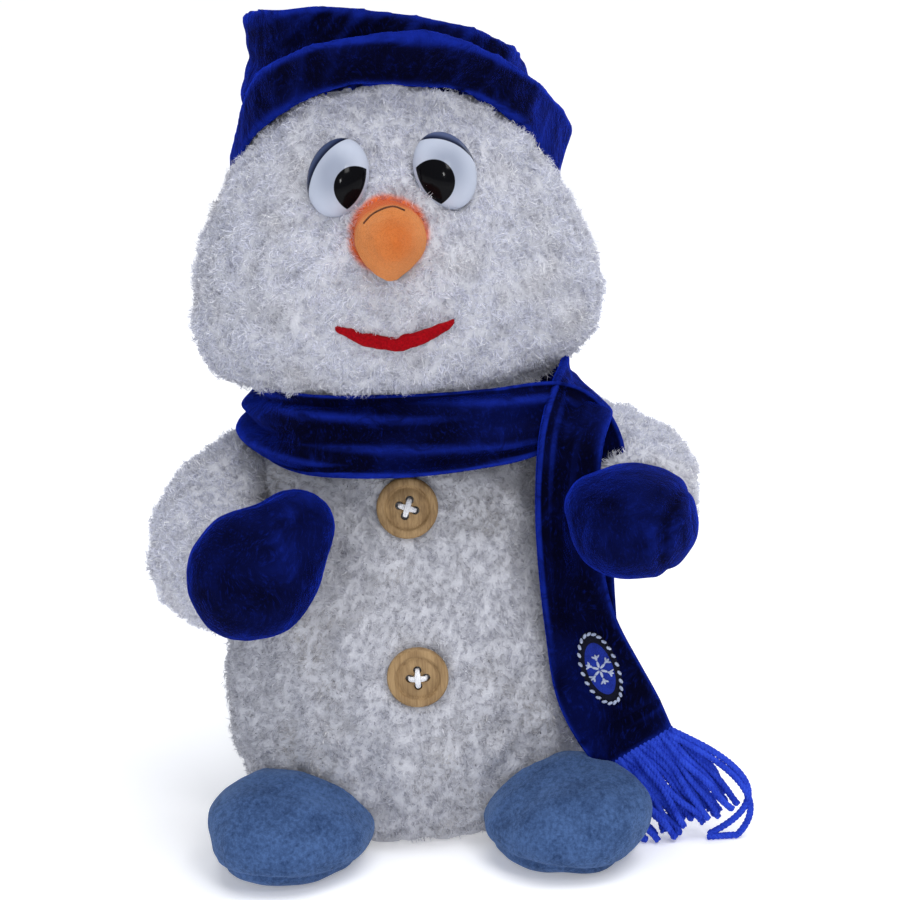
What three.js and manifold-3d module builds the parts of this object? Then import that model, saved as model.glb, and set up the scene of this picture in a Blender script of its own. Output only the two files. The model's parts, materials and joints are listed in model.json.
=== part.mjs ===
// Plush snowman: a stuffed soft toy with a velvet hat, scarf and mittens, fleece feet,
// plastic eyes, a velour nose, a felt mouth and two wooden buttons.
// Millimetres, +Z up, the face looks along -Y. "left" and "right" are the toy's own sides.
// The origin is the centre of the flat seat under the torso.
import * as THREE from "three";
import { mergeVertices } from "three/addons/utils/BufferGeometryUtils.js";
import Module from "manifold-3d";

const wasm = await Module();
wasm.setup();

// ---- Driving dimensions -------------------------------------------------------------------

const GAP = 0.5; // clearance left where one piece is cut to fit its neighbour
const CUT_TOLERANCE = 0.2; // how far a cut face may be evened out
const TAU = Math.PI * 2;

const HEAD = {
  centre: [0, 0, 177],
  halfWidth: 68,
  frontDepth: 57,
  backDepth: 54,
  crownHeight: 82,
  chinDepth: 31.5,
  crownPower: 1.7,
  chinPower: 2.5,
};

// Each station of the torso: height, half width, half depth.
const TORSO = [
  [0, 40, 34],
  [3, 48, 40],
  [11, 57, 46],
  [28, 64, 50.5],
  [50, 66, 51.5],
  [72, 63.5, 50],
  [95, 57, 46],
  [115, 50.5, 42],
  [130, 45.5, 39],
  [142, 41, 36],
  [151, 35, 31],
];

// Each station of an arm: centre of the section, then its radius.
const ARM_RIGHT = [
  [-38, 8, 118, 20],
  [-56, 5, 111, 24],
  [-63.5, -8, 100, 24.5],
  [-61, -27, 97, 22.5],
  [-54, -44, 101, 19],
];
const ARM_LEFT = [
  [38, 8, 121, 20],
  [59, 4, 119, 23],
  [72, -12, 115, 22.5],
  [75, -32, 113, 21],
  [74, -50, 113, 18],
];

const MITTEN_RIGHT = {
  centre: [-49.6, -62, 102.6],
  radii: [23, 15.5, 20.8],
  turn: [0, -46, 6],
  thumb: { centre: [20.3, 1.5, -1.2], radii: [12.8, 10.5, 12.8] },
};
const MITTEN_LEFT = {
  centre: [71, -71, 114.5],
  radii: [21, 25, 17.6],
  turn: [8, 0, 0],
  thumb: { centre: [-12.5, 2, 5], radii: [9.5, 15, 9.5] },
};

const FOOT = { radii: [26, 36.5, 17.2], height: 13.5, splay: 17, tip: 7.5 };
const FOOT_RIGHT = [-44.6, -48, 0];
const FOOT_LEFT = [45.8, -53, 0];

// The hat sits on the head along a slanted ring; its top is a small tilted oval, arched in the middle.
const HAT = {
  seat: [0, 14, 216],
  seatTilt: 43,
  seatRoll: 3,
  clear: 1.2,
  pinch: 4,
  topCentre: [2, 19, 264],
  topHalfWidth: 46.5,
  topHalfDepth: 34,
  topTilt: 14,
  topRoll: 12.2,
  topArch: 2.2,
};
const BRIM = { width: 23, thickness: 3.4, clear: 3.6 };

// Each station of the scarf: centre, direction across the strip, half width, half thickness.
// The strip runs from the short under tail up to the neck, once round it, and down the front.
const SCARF = [
  [[54, -35, 58], [0.93, -0.36, 0.0], 12, 1.6],
  [[54.5, -36.5, 74], [0.93, -0.36, 0.0], 12, 1.8],
  [[56, -38.5, 96], [0.92, -0.4, 0.0], 11, 2],
  [[59.5, -40, 118], [0.9, -0.43, 0.05], 11, 2.2],
  [[60.5, -38, 133], [0.85, -0.38, 0.35], 11, 2.4],
  [[51, -39.5, 143], [0.45, 0.1, 0.89], 11, 2.6],
  [[30, -46, 142], [0.1, 0.3, 0.95], 12.5, 3],
  [[0, -49.5, 141.5], [0, 0.34, 0.94], 13.5, 3.2],
  [[-29, -43.5, 142.5], [-0.05, 0.3, 0.95], 13, 3.2],
  [[-46, -21.5, 144], [0.25, 0.12, 0.96], 12, 3],
  [[-47.5, 4, 145.5], [0.25, 0, 0.97], 10, 3],
  [[-34, 31, 148], [0.2, -0.2, 0.96], 11, 3],
  [[0, 42.5, 149], [0, -0.25, 0.97], 12, 3],
  [[34, 31, 149], [-0.2, -0.2, 0.96], 11, 3],
  [[49, 6, 149], [-0.3, 0.05, 0.95], 10.5, 3],
  [[57.5, -18, 149], [-0.5, 0.1, 0.86], 11, 3],
  [[57.5, -38, 146.5], [-0.85, 0.15, 0.5], 11, 3],
  [[53.5, -48, 135], [-1, 0.12, 0.05], 10.5, 2.8],
  [[51.5, -48, 116], [-0.95, 0.3, 0], 10.5, 2.4],
  [[51.8, -47, 96], [-0.93, 0.36, 0], 11, 2.2],
  [[53.8, -46.5, 76], [-0.95, 0.28, -0.05], 12.3, 2],
  [[58.5, -46.5, 56], [-0.95, 0.14, -0.25], 15, 2],
  [[64, -46.5, 42], [-0.94, 0.04, -0.32], 15.5, 2],
  [[67.6, -46.5, 32], [-0.94, 0, -0.33], 14.2, 1.8],
];
const SCARF_STEPS = 52;

// Fringe stations: centre, direction across, half width, half thickness.
const FRONT_FRINGE = [
  [[68.4, -46.5, 30.2], [-0.94, 0, -0.33], 12.8, 1.4],
  [[75.5, -47, 21.5], [-0.92, 0, -0.38], 12, 1.8],
  [[84.5, -47.5, 15.5], [-0.9, -0.05, -0.42], 12.2, 1.8],
  [[96, -47.5, 12], [-0.86, -0.12, -0.44], 14.2, 1.6],
];
const BACK_FRINGE = [
  [[54, -34.95, 57.2], [0.93, -0.36, 0], 11, 1.4],
  [[54.5, -34.5, 46], [0.93, -0.36, 0], 11, 1.6],
  [[55, -34, 33], [0.93, -0.36, 0], 11.5, 1.6],
];

const EYE = {
  side: 16.9,
  height: 224.2,
  shift: 1.8,
  radii: [9.8, 12.8, 7.6],
  back: -2,
  lean: 15,
  lift: 17,
  outward: 9,
};
const NOSE = { height: 205.3, baseRadius: 11.7, length: 24, tipPower: 2.3, droop: -4, aside: 4, root: 9 };
const MOUTH = { height: 173, halfWidth: 19, rise: 5.8, halfBand: 1.9, halfDepth: 1.3, proud: 0.4 };
const BUTTON = {
  radius: 10,
  thickness: 3.4,
  rim: 2.6,
  dish: 0.7,
  holeRadius: 1.35,
  holeSpread: 2.7,
  sink: 1.6,
};
const BUTTONS = [
  { name: "upper", height: 116, lift: 10, turn: 20 },
  { name: "lower", height: 62, lift: -2, turn: 0 },
];
const THREAD_RADIUS = 0.85;

// ---- Building closed meshes ---------------------------------------------------------------

const vector = (p) => new THREE.Vector3(p[0], p[1], p[2]);
const radians = THREE.MathUtils.degToRad;

// Turns every face round if the mesh is inside out.
function facingOut(geometry) {
  const p = geometry.attributes.position;
  const index = geometry.index.array;
  const [a, b, c] = [0, 1, 2].map(() => new THREE.Vector3());
  let volume = 0;
  for (let i = 0; i < index.length; i += 3) {
    a.fromBufferAttribute(p, index[i]);
    b.fromBufferAttribute(p, index[i + 1]);
    c.fromBufferAttribute(p, index[i + 2]);
    volume += a.dot(b.cross(c));
  }
  if (volume < 0) {
    for (let i = 0; i < index.length; i += 3) {
      [index[i + 1], index[i + 2]] = [index[i + 2], index[i + 1]];
    }
  }
  return geometry;
}

// A closed skin through rings of equal length; a looped skin joins its last ring to its first.
function loft(rings, looped = false) {
  const count = rings[0].length;
  const points = rings.flat();
  const faces = [];
  for (let i = 0; i < rings.length - (looped ? 0 : 1); i++) {
    const next = (i + 1) % rings.length;
    for (let j = 0; j < count; j++) {
      const k = (j + 1) % count;
      const [a, b, c, d] = [i * count + j, i * count + k, next * count + k, next * count + j];
      faces.push(a, b, c, a, c, d);
    }
  }
  if (!looped) {
    for (const ring of [0, rings.length - 1]) {
      const centre = new THREE.Vector3();
      rings[ring].forEach((p) => centre.addScaledVector(p, 1 / count));
      const middle = points.push(centre) - 1;
      for (let j = 0; j < count; j++) {
        const pair = [ring * count + j, ring * count + ((j + 1) % count)];
        faces.push(middle, ...(ring ? pair : pair.reverse()));
      }
    }
  }
  const geometry = new THREE.BufferGeometry().setFromPoints(points).setIndex(faces);
  return facingOut(geometry);
}

// The same mesh with its repeated points joined and only its positions kept.
function merged(geometry) {
  const bare = geometry.clone();
  bare.deleteAttribute("normal");
  bare.deleteAttribute("uv");
  return mergeVertices(bare, 1e-4);
}

// A ball whose every direction is sent to a point by shape(x, y, z).
function warpedBall(around, up, shape) {
  const ball = merged(new THREE.SphereGeometry(1, around, up).rotateX(Math.PI / 2));
  const p = ball.attributes.position;
  for (let i = 0; i < p.count; i++) {
    const to = shape(p.getX(i), p.getY(i), p.getZ(i));
    p.setXYZ(i, to.x, to.y, to.z);
  }
  return facingOut(ball);
}

// The mesh moved outwards by distance along its smoothed normals.
function grown(geometry, distance = GAP) {
  const wide = merged(geometry);
  wide.computeVertexNormals();
  const p = wide.attributes.position;
  const n = wide.attributes.normal;
  for (let i = 0; i < p.count; i++) {
    const reach = distance;
    p.setXYZ(i, p.getX(i) + reach * n.getX(i), p.getY(i) + reach * n.getY(i), p.getZ(i) + reach * n.getZ(i));
  }
  wide.deleteAttribute("normal");
  return wide;
}

function toSolid(geometry) {
  const bare = merged(geometry);
  return new wasm.Manifold(
    new wasm.Mesh({
      numProp: 3,
      vertProperties: bare.attributes.position.array,
      triVerts: new Uint32Array(bare.index.array),
    }),
  );
}

// Keeps the largest piece, so that a cut leaves no loose crumbs.
function toGeometry(solid) {
  const largest = solid.decompose().reduce((a, b) => (b.volume() > a.volume() ? b : a));
  const mesh = largest.simplify(CUT_TOLERANCE).getMesh();
  return new THREE.BufferGeometry()
    .setAttribute("position", new THREE.BufferAttribute(new Float32Array(mesh.vertProperties), 3))
    .setIndex(new THREE.BufferAttribute(new Uint32Array(mesh.triVerts), 1));
}

const cutBy = (geometry, ...tools) =>
  toGeometry(tools.reduce((left, tool) => left.subtract(toSolid(grown(tool))), toSolid(geometry)));
const joined = (...parts) =>
  toGeometry(parts.map(toSolid).reduce((all, part) => all.add(part)));

// Evenly spaced rings along stations given as [centre, across, half width, half thickness].
function strip(stations, steps, corner = 0.5, around = 6) {
  const centres = new THREE.CatmullRomCurve3(stations.map((s) => vector(s[0])), false, "centripetal");
  const acrosses = new THREE.CatmullRomCurve3(stations.map((s) => vector(s[1])));
  const sizes = new THREE.CatmullRomCurve3(stations.map((s) => new THREE.Vector3(s[2], s[3], 0)));
  const rings = [];
  for (let i = 0; i <= steps; i++) {
    const t = i / steps;
    const centre = centres.getPoint(t);
    const along = centres.getTangent(t);
    const across = acrosses.getPoint(t);
    across.addScaledVector(along, -across.dot(along)).normalize();
    const out = new THREE.Vector3().crossVectors(along, across);
    const size = sizes.getPoint(t);
    const ring = [];
    for (let j = 0; j < around; j++) {
      const angle = ((j + 0.5) / around) * TAU;
      const u = Math.sign(Math.cos(angle)) * Math.abs(Math.cos(angle)) ** corner * size.x;
      const v = Math.sign(Math.sin(angle)) * Math.abs(Math.sin(angle)) ** corner * size.y;
      ring.push(centre.clone().addScaledVector(across, u).addScaledVector(out, v));
    }
    rings.push(ring);
  }
  return loft(rings);
}

// ---- The stuffed body ---------------------------------------------------------------------

// A point of the head's skin, from a unit direction.
function headPoint(x, y, z) {
  const power = 2 / (z >= 0 ? HEAD.crownPower : HEAD.chinPower);
  const level = Math.hypot(x, y) || 1e-9;
  const reach = level ** power;
  const rise = Math.abs(z) ** power * (z >= 0 ? HEAD.crownHeight : -HEAD.chinDepth);
  const depth = y < 0 ? HEAD.frontDepth : HEAD.backDepth;
  return new THREE.Vector3(
    HEAD.centre[0] + (x / level) * reach * HEAD.halfWidth,
    HEAD.centre[1] + (y / level) * reach * depth,
    HEAD.centre[2] + rise,
  );
}

// How far forward the face reaches at a height and a distance from the middle.
function faceDepth(x, height) {
  const above = height >= HEAD.centre[2];
  const power = above ? HEAD.crownPower : HEAD.chinPower;
  const share = Math.abs(height - HEAD.centre[2]) / (above ? HEAD.crownHeight : HEAD.chinDepth);
  const reach = (1 - share ** power) ** (1 / power);
  const side = x / (HEAD.halfWidth * reach);
  return -HEAD.frontDepth * reach * Math.sqrt(1 - side * side);
}

function torsoGeometry() {
  const heights = new THREE.CatmullRomCurve3(TORSO.map(([z, w, d]) => new THREE.Vector3(w, d, z)));
  const rings = [];
  const [steps, around] = [12, 26];
  for (let i = 0; i <= steps; i++) {
    const at = heights.getPoint(i / steps);
    const ring = [];
    for (let j = 0; j < around; j++) {
      const angle = (j / around) * TAU;
      ring.push(new THREE.Vector3(at.x * Math.cos(angle), at.y * Math.sin(angle), at.z));
    }
    rings.push(ring);
  }
  return loft(rings);
}

// How far forward the belly reaches on the middle line at a height.
function bellyDepth(height) {
  const after = TORSO.findIndex(([z]) => z > height);
  const [z0, , d0] = TORSO[after - 1];
  const [z1, , d1] = TORSO[after];
  return -THREE.MathUtils.mapLinear(height, z0, z1, d0, d1);
}

function armGeometry(stations) {
  const centres = new THREE.CatmullRomCurve3(stations.map(vector));
  const sizes = new THREE.CatmullRomCurve3(stations.map((s) => new THREE.Vector3(s[3], 0, 0)));
  const rings = [];
  const [steps, around] = [9, 14];
  for (let i = 0; i <= steps; i++) {
    const t = i / steps;
    const along = centres.getTangent(t);
    const upward = new THREE.Vector3(0, 0, 1);
    const across = upward.clone().cross(along).normalize();
    upward.crossVectors(along, across).normalize();
    const radius = sizes.getPoint(t).x;
    const ring = [];
    for (let j = 0; j < around; j++) {
      const angle = (j / around) * TAU;
      ring.push(
        centres
          .getPoint(t)
          .addScaledVector(across, radius * Math.cos(angle))
          .addScaledVector(upward, radius * Math.sin(angle)),
      );
    }
    rings.push(ring);
  }
  return loft(rings);
}

// An egg of the given half sizes, placed in the mitten's own turned frame.
function mittenGeometry(mitten) {
  const place = new THREE.Matrix4()
    .makeRotationFromEuler(new THREE.Euler(...mitten.turn.map(radians)))
    .setPosition(vector(mitten.centre));
  const egg = (radii, centre, around, up) =>
    warpedBall(around, up, (x, y, z) =>
      new THREE.Vector3(x * radii[0], y * radii[1], z * radii[2]).add(vector(centre)),
    ).applyMatrix4(place);
  const hand = egg(mitten.radii, [0, 0, 0], 18, 10);
  const thumb = egg(mitten.thumb.radii, mitten.thumb.centre, 10, 7);
  return joined(hand, thumb);
}

// A slipper: an egg with a flat sole, turned outwards from the middle.
function footGeometry(centre) {
  const place = new THREE.Matrix4()
    .makeRotationZ(radians(FOOT.splay) * Math.sign(centre[0]))
    .setPosition(vector(centre));
  const [width, length, rise] = FOOT.radii;
  return warpedBall(22, 12, (x, y, z) => {
    const heel = 1 - 0.1 * y;
    const height = FOOT.height + rise * z * (1 + 0.08 * y);
    const outer = Math.sign(centre[0]) * FOOT.tip * (Math.max(z, 0) - 0.25);
    return new THREE.Vector3(x * width * heel + outer, y * length, Math.max(height, 0));
  }).applyMatrix4(place);
}

// ---- The hat ------------------------------------------------------------------------------

// Below 1 inside the head, above 1 outside it.
function headLevel(point) {
  const up = point.z - HEAD.centre[2];
  const power = up >= 0 ? HEAD.crownPower : HEAD.chinPower;
  const depth = point.y < 0 ? HEAD.frontDepth : HEAD.backDepth;
  return (
    Math.hypot(point.x / HEAD.halfWidth, point.y / depth) ** power +
    (Math.abs(up) / (up >= 0 ? HEAD.crownHeight : HEAD.chinDepth)) ** power
  );
}

// Direction out of the hat's slanted seat ring at an angle round it; 0 is the toy's left.
const seatTurn = new THREE.Euler(-radians(HAT.seatTilt), radians(HAT.seatRoll), 0, "ZYX");
const seatRadial = (angle) => new THREE.Vector3(Math.cos(angle), Math.sin(angle), 0).applyEuler(seatTurn);
const seatAxis = new THREE.Vector3(0, 0, 1).applyEuler(seatTurn);

// The point of the seat ring clear of the head by the given distance, pinched in at both sides.
function seatPoint(angle, clear) {
  const out = seatRadial(angle);
  const centre = vector(HAT.seat);
  let [inside, outside] = [0, 120];
  for (let i = 0; i < 30; i++) {
    const middle = (inside + outside) / 2;
    if (headLevel(centre.clone().addScaledVector(out, middle)) < 1) inside = middle;
    else outside = middle;
  }
  return centre.addScaledVector(out, inside + clear - HAT.pinch * Math.cos(angle) ** 2);
}

function hatTopPoint(angle) {
  return new THREE.Vector3(HAT.topHalfWidth * Math.cos(angle), HAT.topHalfDepth * Math.sin(angle), 0)
    .applyEuler(new THREE.Euler(-radians(HAT.topTilt), radians(HAT.topRoll), 0, "ZYX"))
    .add(new THREE.Vector3(0, 0, HAT.topArch * Math.sin(angle) ** 2 * (0.7 + Math.cos(angle))))
    .add(vector(HAT.topCentre));
}

function crownGeometry() {
  const [steps, around] = [5, 32];
  const rings = [];
  for (let i = 0; i <= steps; i++) {
    const t = i / steps;
    const ring = [];
    for (let j = 0; j < around; j++) {
      const angle = (j / around) * TAU;
      ring.push(seatPoint(angle, HAT.clear).lerp(hatTopPoint(angle), t));
    }
    rings.push(ring);
  }
  return loft(rings);
}

// How far the brim leans out from the seat's axis: like a visor over the face, flat to the crown at
// the toy's right, flaring at its left and turned up straight behind.
function brimLean(angle) {
  const front = Math.max(0, -Math.sin(angle)) ** 2.6;
  const left = Math.max(0, Math.cos(angle));
  const right = Math.max(0, -Math.cos(angle));
  const back = Math.max(0, Math.sin(angle));
  return radians(78 * front + 15 * left * left + 3 * right * right - 32 * back);
}

// The brim is widest over the middle of the face and at the toy's left, and narrow at its right.
function brimWidth(angle) {
  const right = Math.max(0, -Math.cos(angle));
  const front = Math.max(0, -Math.sin(angle));
  const between = angle > 0.75 * TAU ? Math.sin(2 * angle) ** 2 : 0;
  return BRIM.width - 10 * right ** 1.2 - 2 * front - 5 * between;
}

function brimGeometry() {
  const around = 32;
  const rings = [];
  for (let i = 0; i < around; i++) {
    const angle = (i / around) * TAU;
    const fold = seatPoint(angle, BRIM.clear);
    const radial = seatRadial(angle);
    const lean = brimLean(angle);
    const out = seatAxis.clone().multiplyScalar(Math.cos(lean)).addScaledVector(radial, Math.sin(lean));
    const face = radial.multiplyScalar(Math.cos(lean)).addScaledVector(seatAxis, -Math.sin(lean));
    const half = BRIM.thickness / 2;
    const section = [[0, -0.6], [0, 0.6], [0.1, 1], [0.92, 1], [1, 0], [0.92, -1], [0.1, -1]];
    rings.push(
      section.map(([along, through]) =>
        fold.clone().addScaledVector(out, along * brimWidth(angle)).addScaledVector(face, through * half),
      ),
    );
  }
  return loft(rings, true);
}

// ---- Face and buttons ---------------------------------------------------------------------

// A plastic dome with a flat back, leaning in at the top and set into the face.
function eyeGeometry(side) {
  const x = EYE.side * side + EYE.shift;
  const place = new THREE.Matrix4().makeRotationFromEuler(
    new THREE.Euler(-radians(EYE.lift), -radians(EYE.lean) * side, radians(EYE.outward) * side, "ZXY"),
  ).setPosition(x, faceDepth(x, EYE.height), EYE.height);
  return warpedBall(16, 10, (px, py, pz) =>
    new THREE.Vector3(px * EYE.radii[0], Math.min(py * EYE.radii[2], -EYE.back), pz * EYE.radii[1]),
  ).applyMatrix4(place);
}

// A short carrot: round at the face, closing to a blunt tip that is held up a little.
function noseGeometry() {
  const place = new THREE.Matrix4()
    .makeRotationFromEuler(new THREE.Euler(radians(NOSE.droop), 0, radians(NOSE.aside), "ZXY"))
    .setPosition(0, faceDepth(0, NOSE.height), NOSE.height);
  const [steps, around] = [7, 14];
  const rings = [];
  for (let i = 0; i <= steps; i++) {
    const share = i / steps;
    const radius = NOSE.baseRadius * (1 - share ** NOSE.tipPower) ** 0.62 + 0.3;
    const along = THREE.MathUtils.lerp(NOSE.root, -NOSE.length, share);
    const ring = [];
    for (let j = 0; j < around; j++) {
      const angle = (j / around) * TAU;
      ring.push(new THREE.Vector3(radius * Math.cos(angle), along, radius * 1.04 * Math.sin(angle)));
    }
    rings.push(ring);
  }
  return loft(rings).applyMatrix4(place);
}

// A smiling felt band laid on the face, thickest in the middle and pointed at its ends.
function mouthGeometry() {
  const steps = 16;
  const stations = [];
  for (let i = 0; i <= steps; i++) {
    const share = (i / steps) * 2 - 1;
    const x = share * MOUTH.halfWidth;
    const height = MOUTH.height + MOUTH.rise * Math.abs(share) ** 1.7;
    const band = MOUTH.halfBand * (1 - share * share) ** 0.7 + 0.35;
    stations.push([[x, faceDepth(x, height) - MOUTH.proud, height], [0, 0.1, 1], band, MOUTH.halfDepth]);
  }
  return strip(stations, 16, 0.8, 6);
}

// Matrix that seats a button on the belly: its axis leans up by lift and it is turned on its face.
function buttonPlace({ height, lift, turn }) {
  return new THREE.Matrix4()
    .makeRotationFromEuler(new THREE.Euler(-radians(lift), radians(turn), 0, "XYZ"))
    .setPosition(0, bellyDepth(height) + BUTTON.sink, height);
}

// The round pocket in the belly that a button sits in.
function buttonSeat(button) {
  const { radius, thickness } = BUTTON;
  return merged(new THREE.CylinderGeometry(radius, radius, thickness * 2, 16)).applyMatrix4(
    new THREE.Matrix4().makeTranslation(0, -thickness, 0).premultiply(buttonPlace(button)),
  );
}

const holeAngles = [0, 1, 2, 3].map((i) => (i / 4) * TAU);

function buttonGeometry(button) {
  const { radius, thickness, rim, dish } = BUTTON;
  const profile = [
    [0, 0], [radius - 0.6, 0], [radius, 0.8], [radius, thickness - 0.8], [radius - 0.7, thickness],
    [radius - rim, thickness], [radius - rim - 0.8, thickness - dish], [0, thickness - dish],
  ].map(([r, h]) => new THREE.Vector2(r, h));
  // The lathe turns about Y, so its height is flipped to point out of the belly, along -Y.
  const disc = toSolid(new THREE.LatheGeometry(profile, 20).rotateX(Math.PI));
  const holes = holeAngles.map((angle) =>
    toSolid(
      new THREE.CylinderGeometry(BUTTON.holeRadius, BUTTON.holeRadius, thickness * 3, 6).translate(
        BUTTON.holeSpread * Math.cos(angle), 0, BUTTON.holeSpread * Math.sin(angle),
      ),
    ),
  );
  return toGeometry(holes.reduce((left, hole) => left.subtract(hole), disc)).applyMatrix4(
    buttonPlace(button),
  );
}

// Two loops of yarn that cross on the button and go down through opposite holes.
function threadGeometry(button) {
  const face = -(BUTTON.thickness - BUTTON.dish) - THREAD_RADIUS - 0.35;
  const loops = [0, 1].map((i) => {
    const angle = holeAngles[i];
    const at = (reach, y) => new THREE.Vector3(reach * Math.cos(angle), y, reach * Math.sin(angle));
    const spread = BUTTON.holeSpread;
    const path = new THREE.CatmullRomCurve3([
      at(-spread, -0.4), at(-spread, face + 1.2), at(-spread * 0.7, face), at(0, face - 0.25),
      at(spread * 0.7, face), at(spread, face + 1.2), at(spread, -0.4),
    ]);
    const section = new THREE.Shape().absarc(0, 0, THREAD_RADIUS, 0, TAU, false);
    return new THREE.ExtrudeGeometry(section, { steps: 9, curveSegments: 3, extrudePath: path });
  });
  return joined(...loops.map((loop) => facingOut(merged(loop)))).applyMatrix4(buttonPlace(button));
}

// ---- Assembly -----------------------------------------------------------------------------

const colours = {
  plush: { color: 0xe9ebf5, roughness: 0.8 },
  velvet: { color: 0x060a5c, roughness: 0.9 },
  fleece: { color: 0x466fa5, roughness: 0.95 },
  yarn: { color: 0x1a35b0, roughness: 0.9 },
  plastic: { color: 0xdfe6ee, roughness: 0.15 },
  velour: { color: 0xe8813c, roughness: 0.9 },
  felt: { color: 0xb40812, roughness: 0.95 },
  wood: { color: 0xbf8f55, roughness: 0.6 },
  thread: { color: 0xf0f0f2, roughness: 0.9 },
};

const snowman = new THREE.Group();

function addPiece(name, geometry, colour) {
  const material = new THREE.MeshStandardMaterial({ ...colours[colour], metalness: 0 });
  const mesh = new THREE.Mesh(geometry, material);
  mesh.name = name;
  snowman.add(mesh);
}

const scarf = strip(SCARF, SCARF_STEPS);
const frontFringe = strip(FRONT_FRINGE, 8);
const backFringe = strip(BACK_FRINGE, 5);
const mittens = { right: mittenGeometry(MITTEN_RIGHT), left: mittenGeometry(MITTEN_LEFT) };
const eyes = { right: eyeGeometry(-1), left: eyeGeometry(1) };
const wholeHead = warpedBall(28, 16, headPoint);
const wholeTorso = torsoGeometry();
const crown = crownGeometry();
const mouth = mouthGeometry();
const buttons = BUTTONS.map(buttonGeometry);
const threads = BUTTONS.map(threadGeometry);

const brim = cutBy(brimGeometry(), crown);
const head = cutBy(wholeHead, scarf, eyes.right, eyes.left, mouth, brim);
const torso = cutBy(wholeTorso, wholeHead, scarf, backFringe, ...BUTTONS.map(buttonSeat));
const feet = {
  right: cutBy(footGeometry(FOOT_RIGHT), wholeTorso),
  left: cutBy(footGeometry(FOOT_LEFT), wholeTorso, scarf, frontFringe, backFringe),
};

addPiece("head", head, "plush");
addPiece("torso", torso, "plush");
addPiece("arm_right", cutBy(armGeometry(ARM_RIGHT), wholeTorso, mittens.right, scarf, wholeHead), "plush");
addPiece("arm_left", cutBy(armGeometry(ARM_LEFT), wholeTorso, mittens.left, scarf, wholeHead), "plush");
addPiece("mitten_right", mittens.right, "velvet");
addPiece("mitten_left", cutBy(mittens.left, scarf), "velvet");
addPiece("foot_right", feet.right, "fleece");
addPiece("foot_left", feet.left, "fleece");
addPiece("hat_crown", cutBy(crown, wholeHead), "velvet");
addPiece("hat_brim", brim, "velvet");
addPiece("scarf", scarf, "velvet");
addPiece("scarf_fringe_front", cutBy(frontFringe, scarf), "yarn");
addPiece("scarf_fringe_back", cutBy(backFringe, scarf), "yarn");
addPiece("eye_right", eyes.right, "plastic");
addPiece("eye_left", eyes.left, "plastic");
addPiece("nose", cutBy(noseGeometry(), wholeHead), "velour");
addPiece("mouth", mouth, "felt");
BUTTONS.forEach(({ name }, i) => {
  addPiece(`button_${name}`, buttons[i], "wood");
  addPiece(`button_thread_${name}`, threads[i], "thread");
});

export default snowman;
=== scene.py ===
"""Plush snowman: a sitting soft toy with a velvet hat, scarf and mittens.

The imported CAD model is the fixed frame. Every stuffed piece starts from its CAD solid, which is
remeshed, softened and dressed here. Lengths are metres, +Z is up, the face looks along -Y, and
"left" and "right" are the toy's own sides.
"""

import json
import logging
import math
from dataclasses import dataclass, field
from enum import Enum
from typing import Iterable, Sequence

import bmesh
import bpy
import numpy as np
from mathutils import Matrix, Vector, noise

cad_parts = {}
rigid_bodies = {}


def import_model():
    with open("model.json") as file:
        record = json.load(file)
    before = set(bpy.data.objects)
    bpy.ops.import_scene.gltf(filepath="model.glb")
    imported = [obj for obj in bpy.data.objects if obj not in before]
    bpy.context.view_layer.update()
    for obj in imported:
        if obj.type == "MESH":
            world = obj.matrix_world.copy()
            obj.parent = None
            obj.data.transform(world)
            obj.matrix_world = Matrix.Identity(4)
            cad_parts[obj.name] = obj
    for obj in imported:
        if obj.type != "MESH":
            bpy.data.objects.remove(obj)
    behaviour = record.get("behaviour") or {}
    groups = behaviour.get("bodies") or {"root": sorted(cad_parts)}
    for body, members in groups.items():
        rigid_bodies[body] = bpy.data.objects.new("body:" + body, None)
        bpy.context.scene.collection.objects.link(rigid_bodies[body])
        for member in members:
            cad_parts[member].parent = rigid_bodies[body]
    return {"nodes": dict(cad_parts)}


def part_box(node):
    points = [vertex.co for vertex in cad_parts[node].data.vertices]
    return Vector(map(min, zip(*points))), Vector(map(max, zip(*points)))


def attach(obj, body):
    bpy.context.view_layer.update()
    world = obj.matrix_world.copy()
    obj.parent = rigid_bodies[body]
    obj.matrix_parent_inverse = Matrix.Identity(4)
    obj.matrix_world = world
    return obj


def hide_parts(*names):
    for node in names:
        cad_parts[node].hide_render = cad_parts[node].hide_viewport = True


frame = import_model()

log = logging.getLogger("snowman")

BODY = "root"
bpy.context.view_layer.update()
TAU = math.tau
Colour = tuple[float, float, float]


class Slot(Enum):
    """The record's material slots."""

    PLUSH = "plush"
    VELVET = "velvet"
    FLEECE = "fleece"
    YARN = "yarn"
    EYE = "eye_plastic"
    VELOUR = "velour"
    FELT = "felt"
    WOOD = "button_wood"
    THREAD = "thread"


class Side(Enum):
    """The toy's own sides, as the sign of X."""

    RIGHT = -1
    LEFT = 1

    @property
    def word(self) -> str:
        """The side's name in lower case."""
        return self.name.lower()


# ---- Node graphs --------------------------------------------------------------------------


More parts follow.
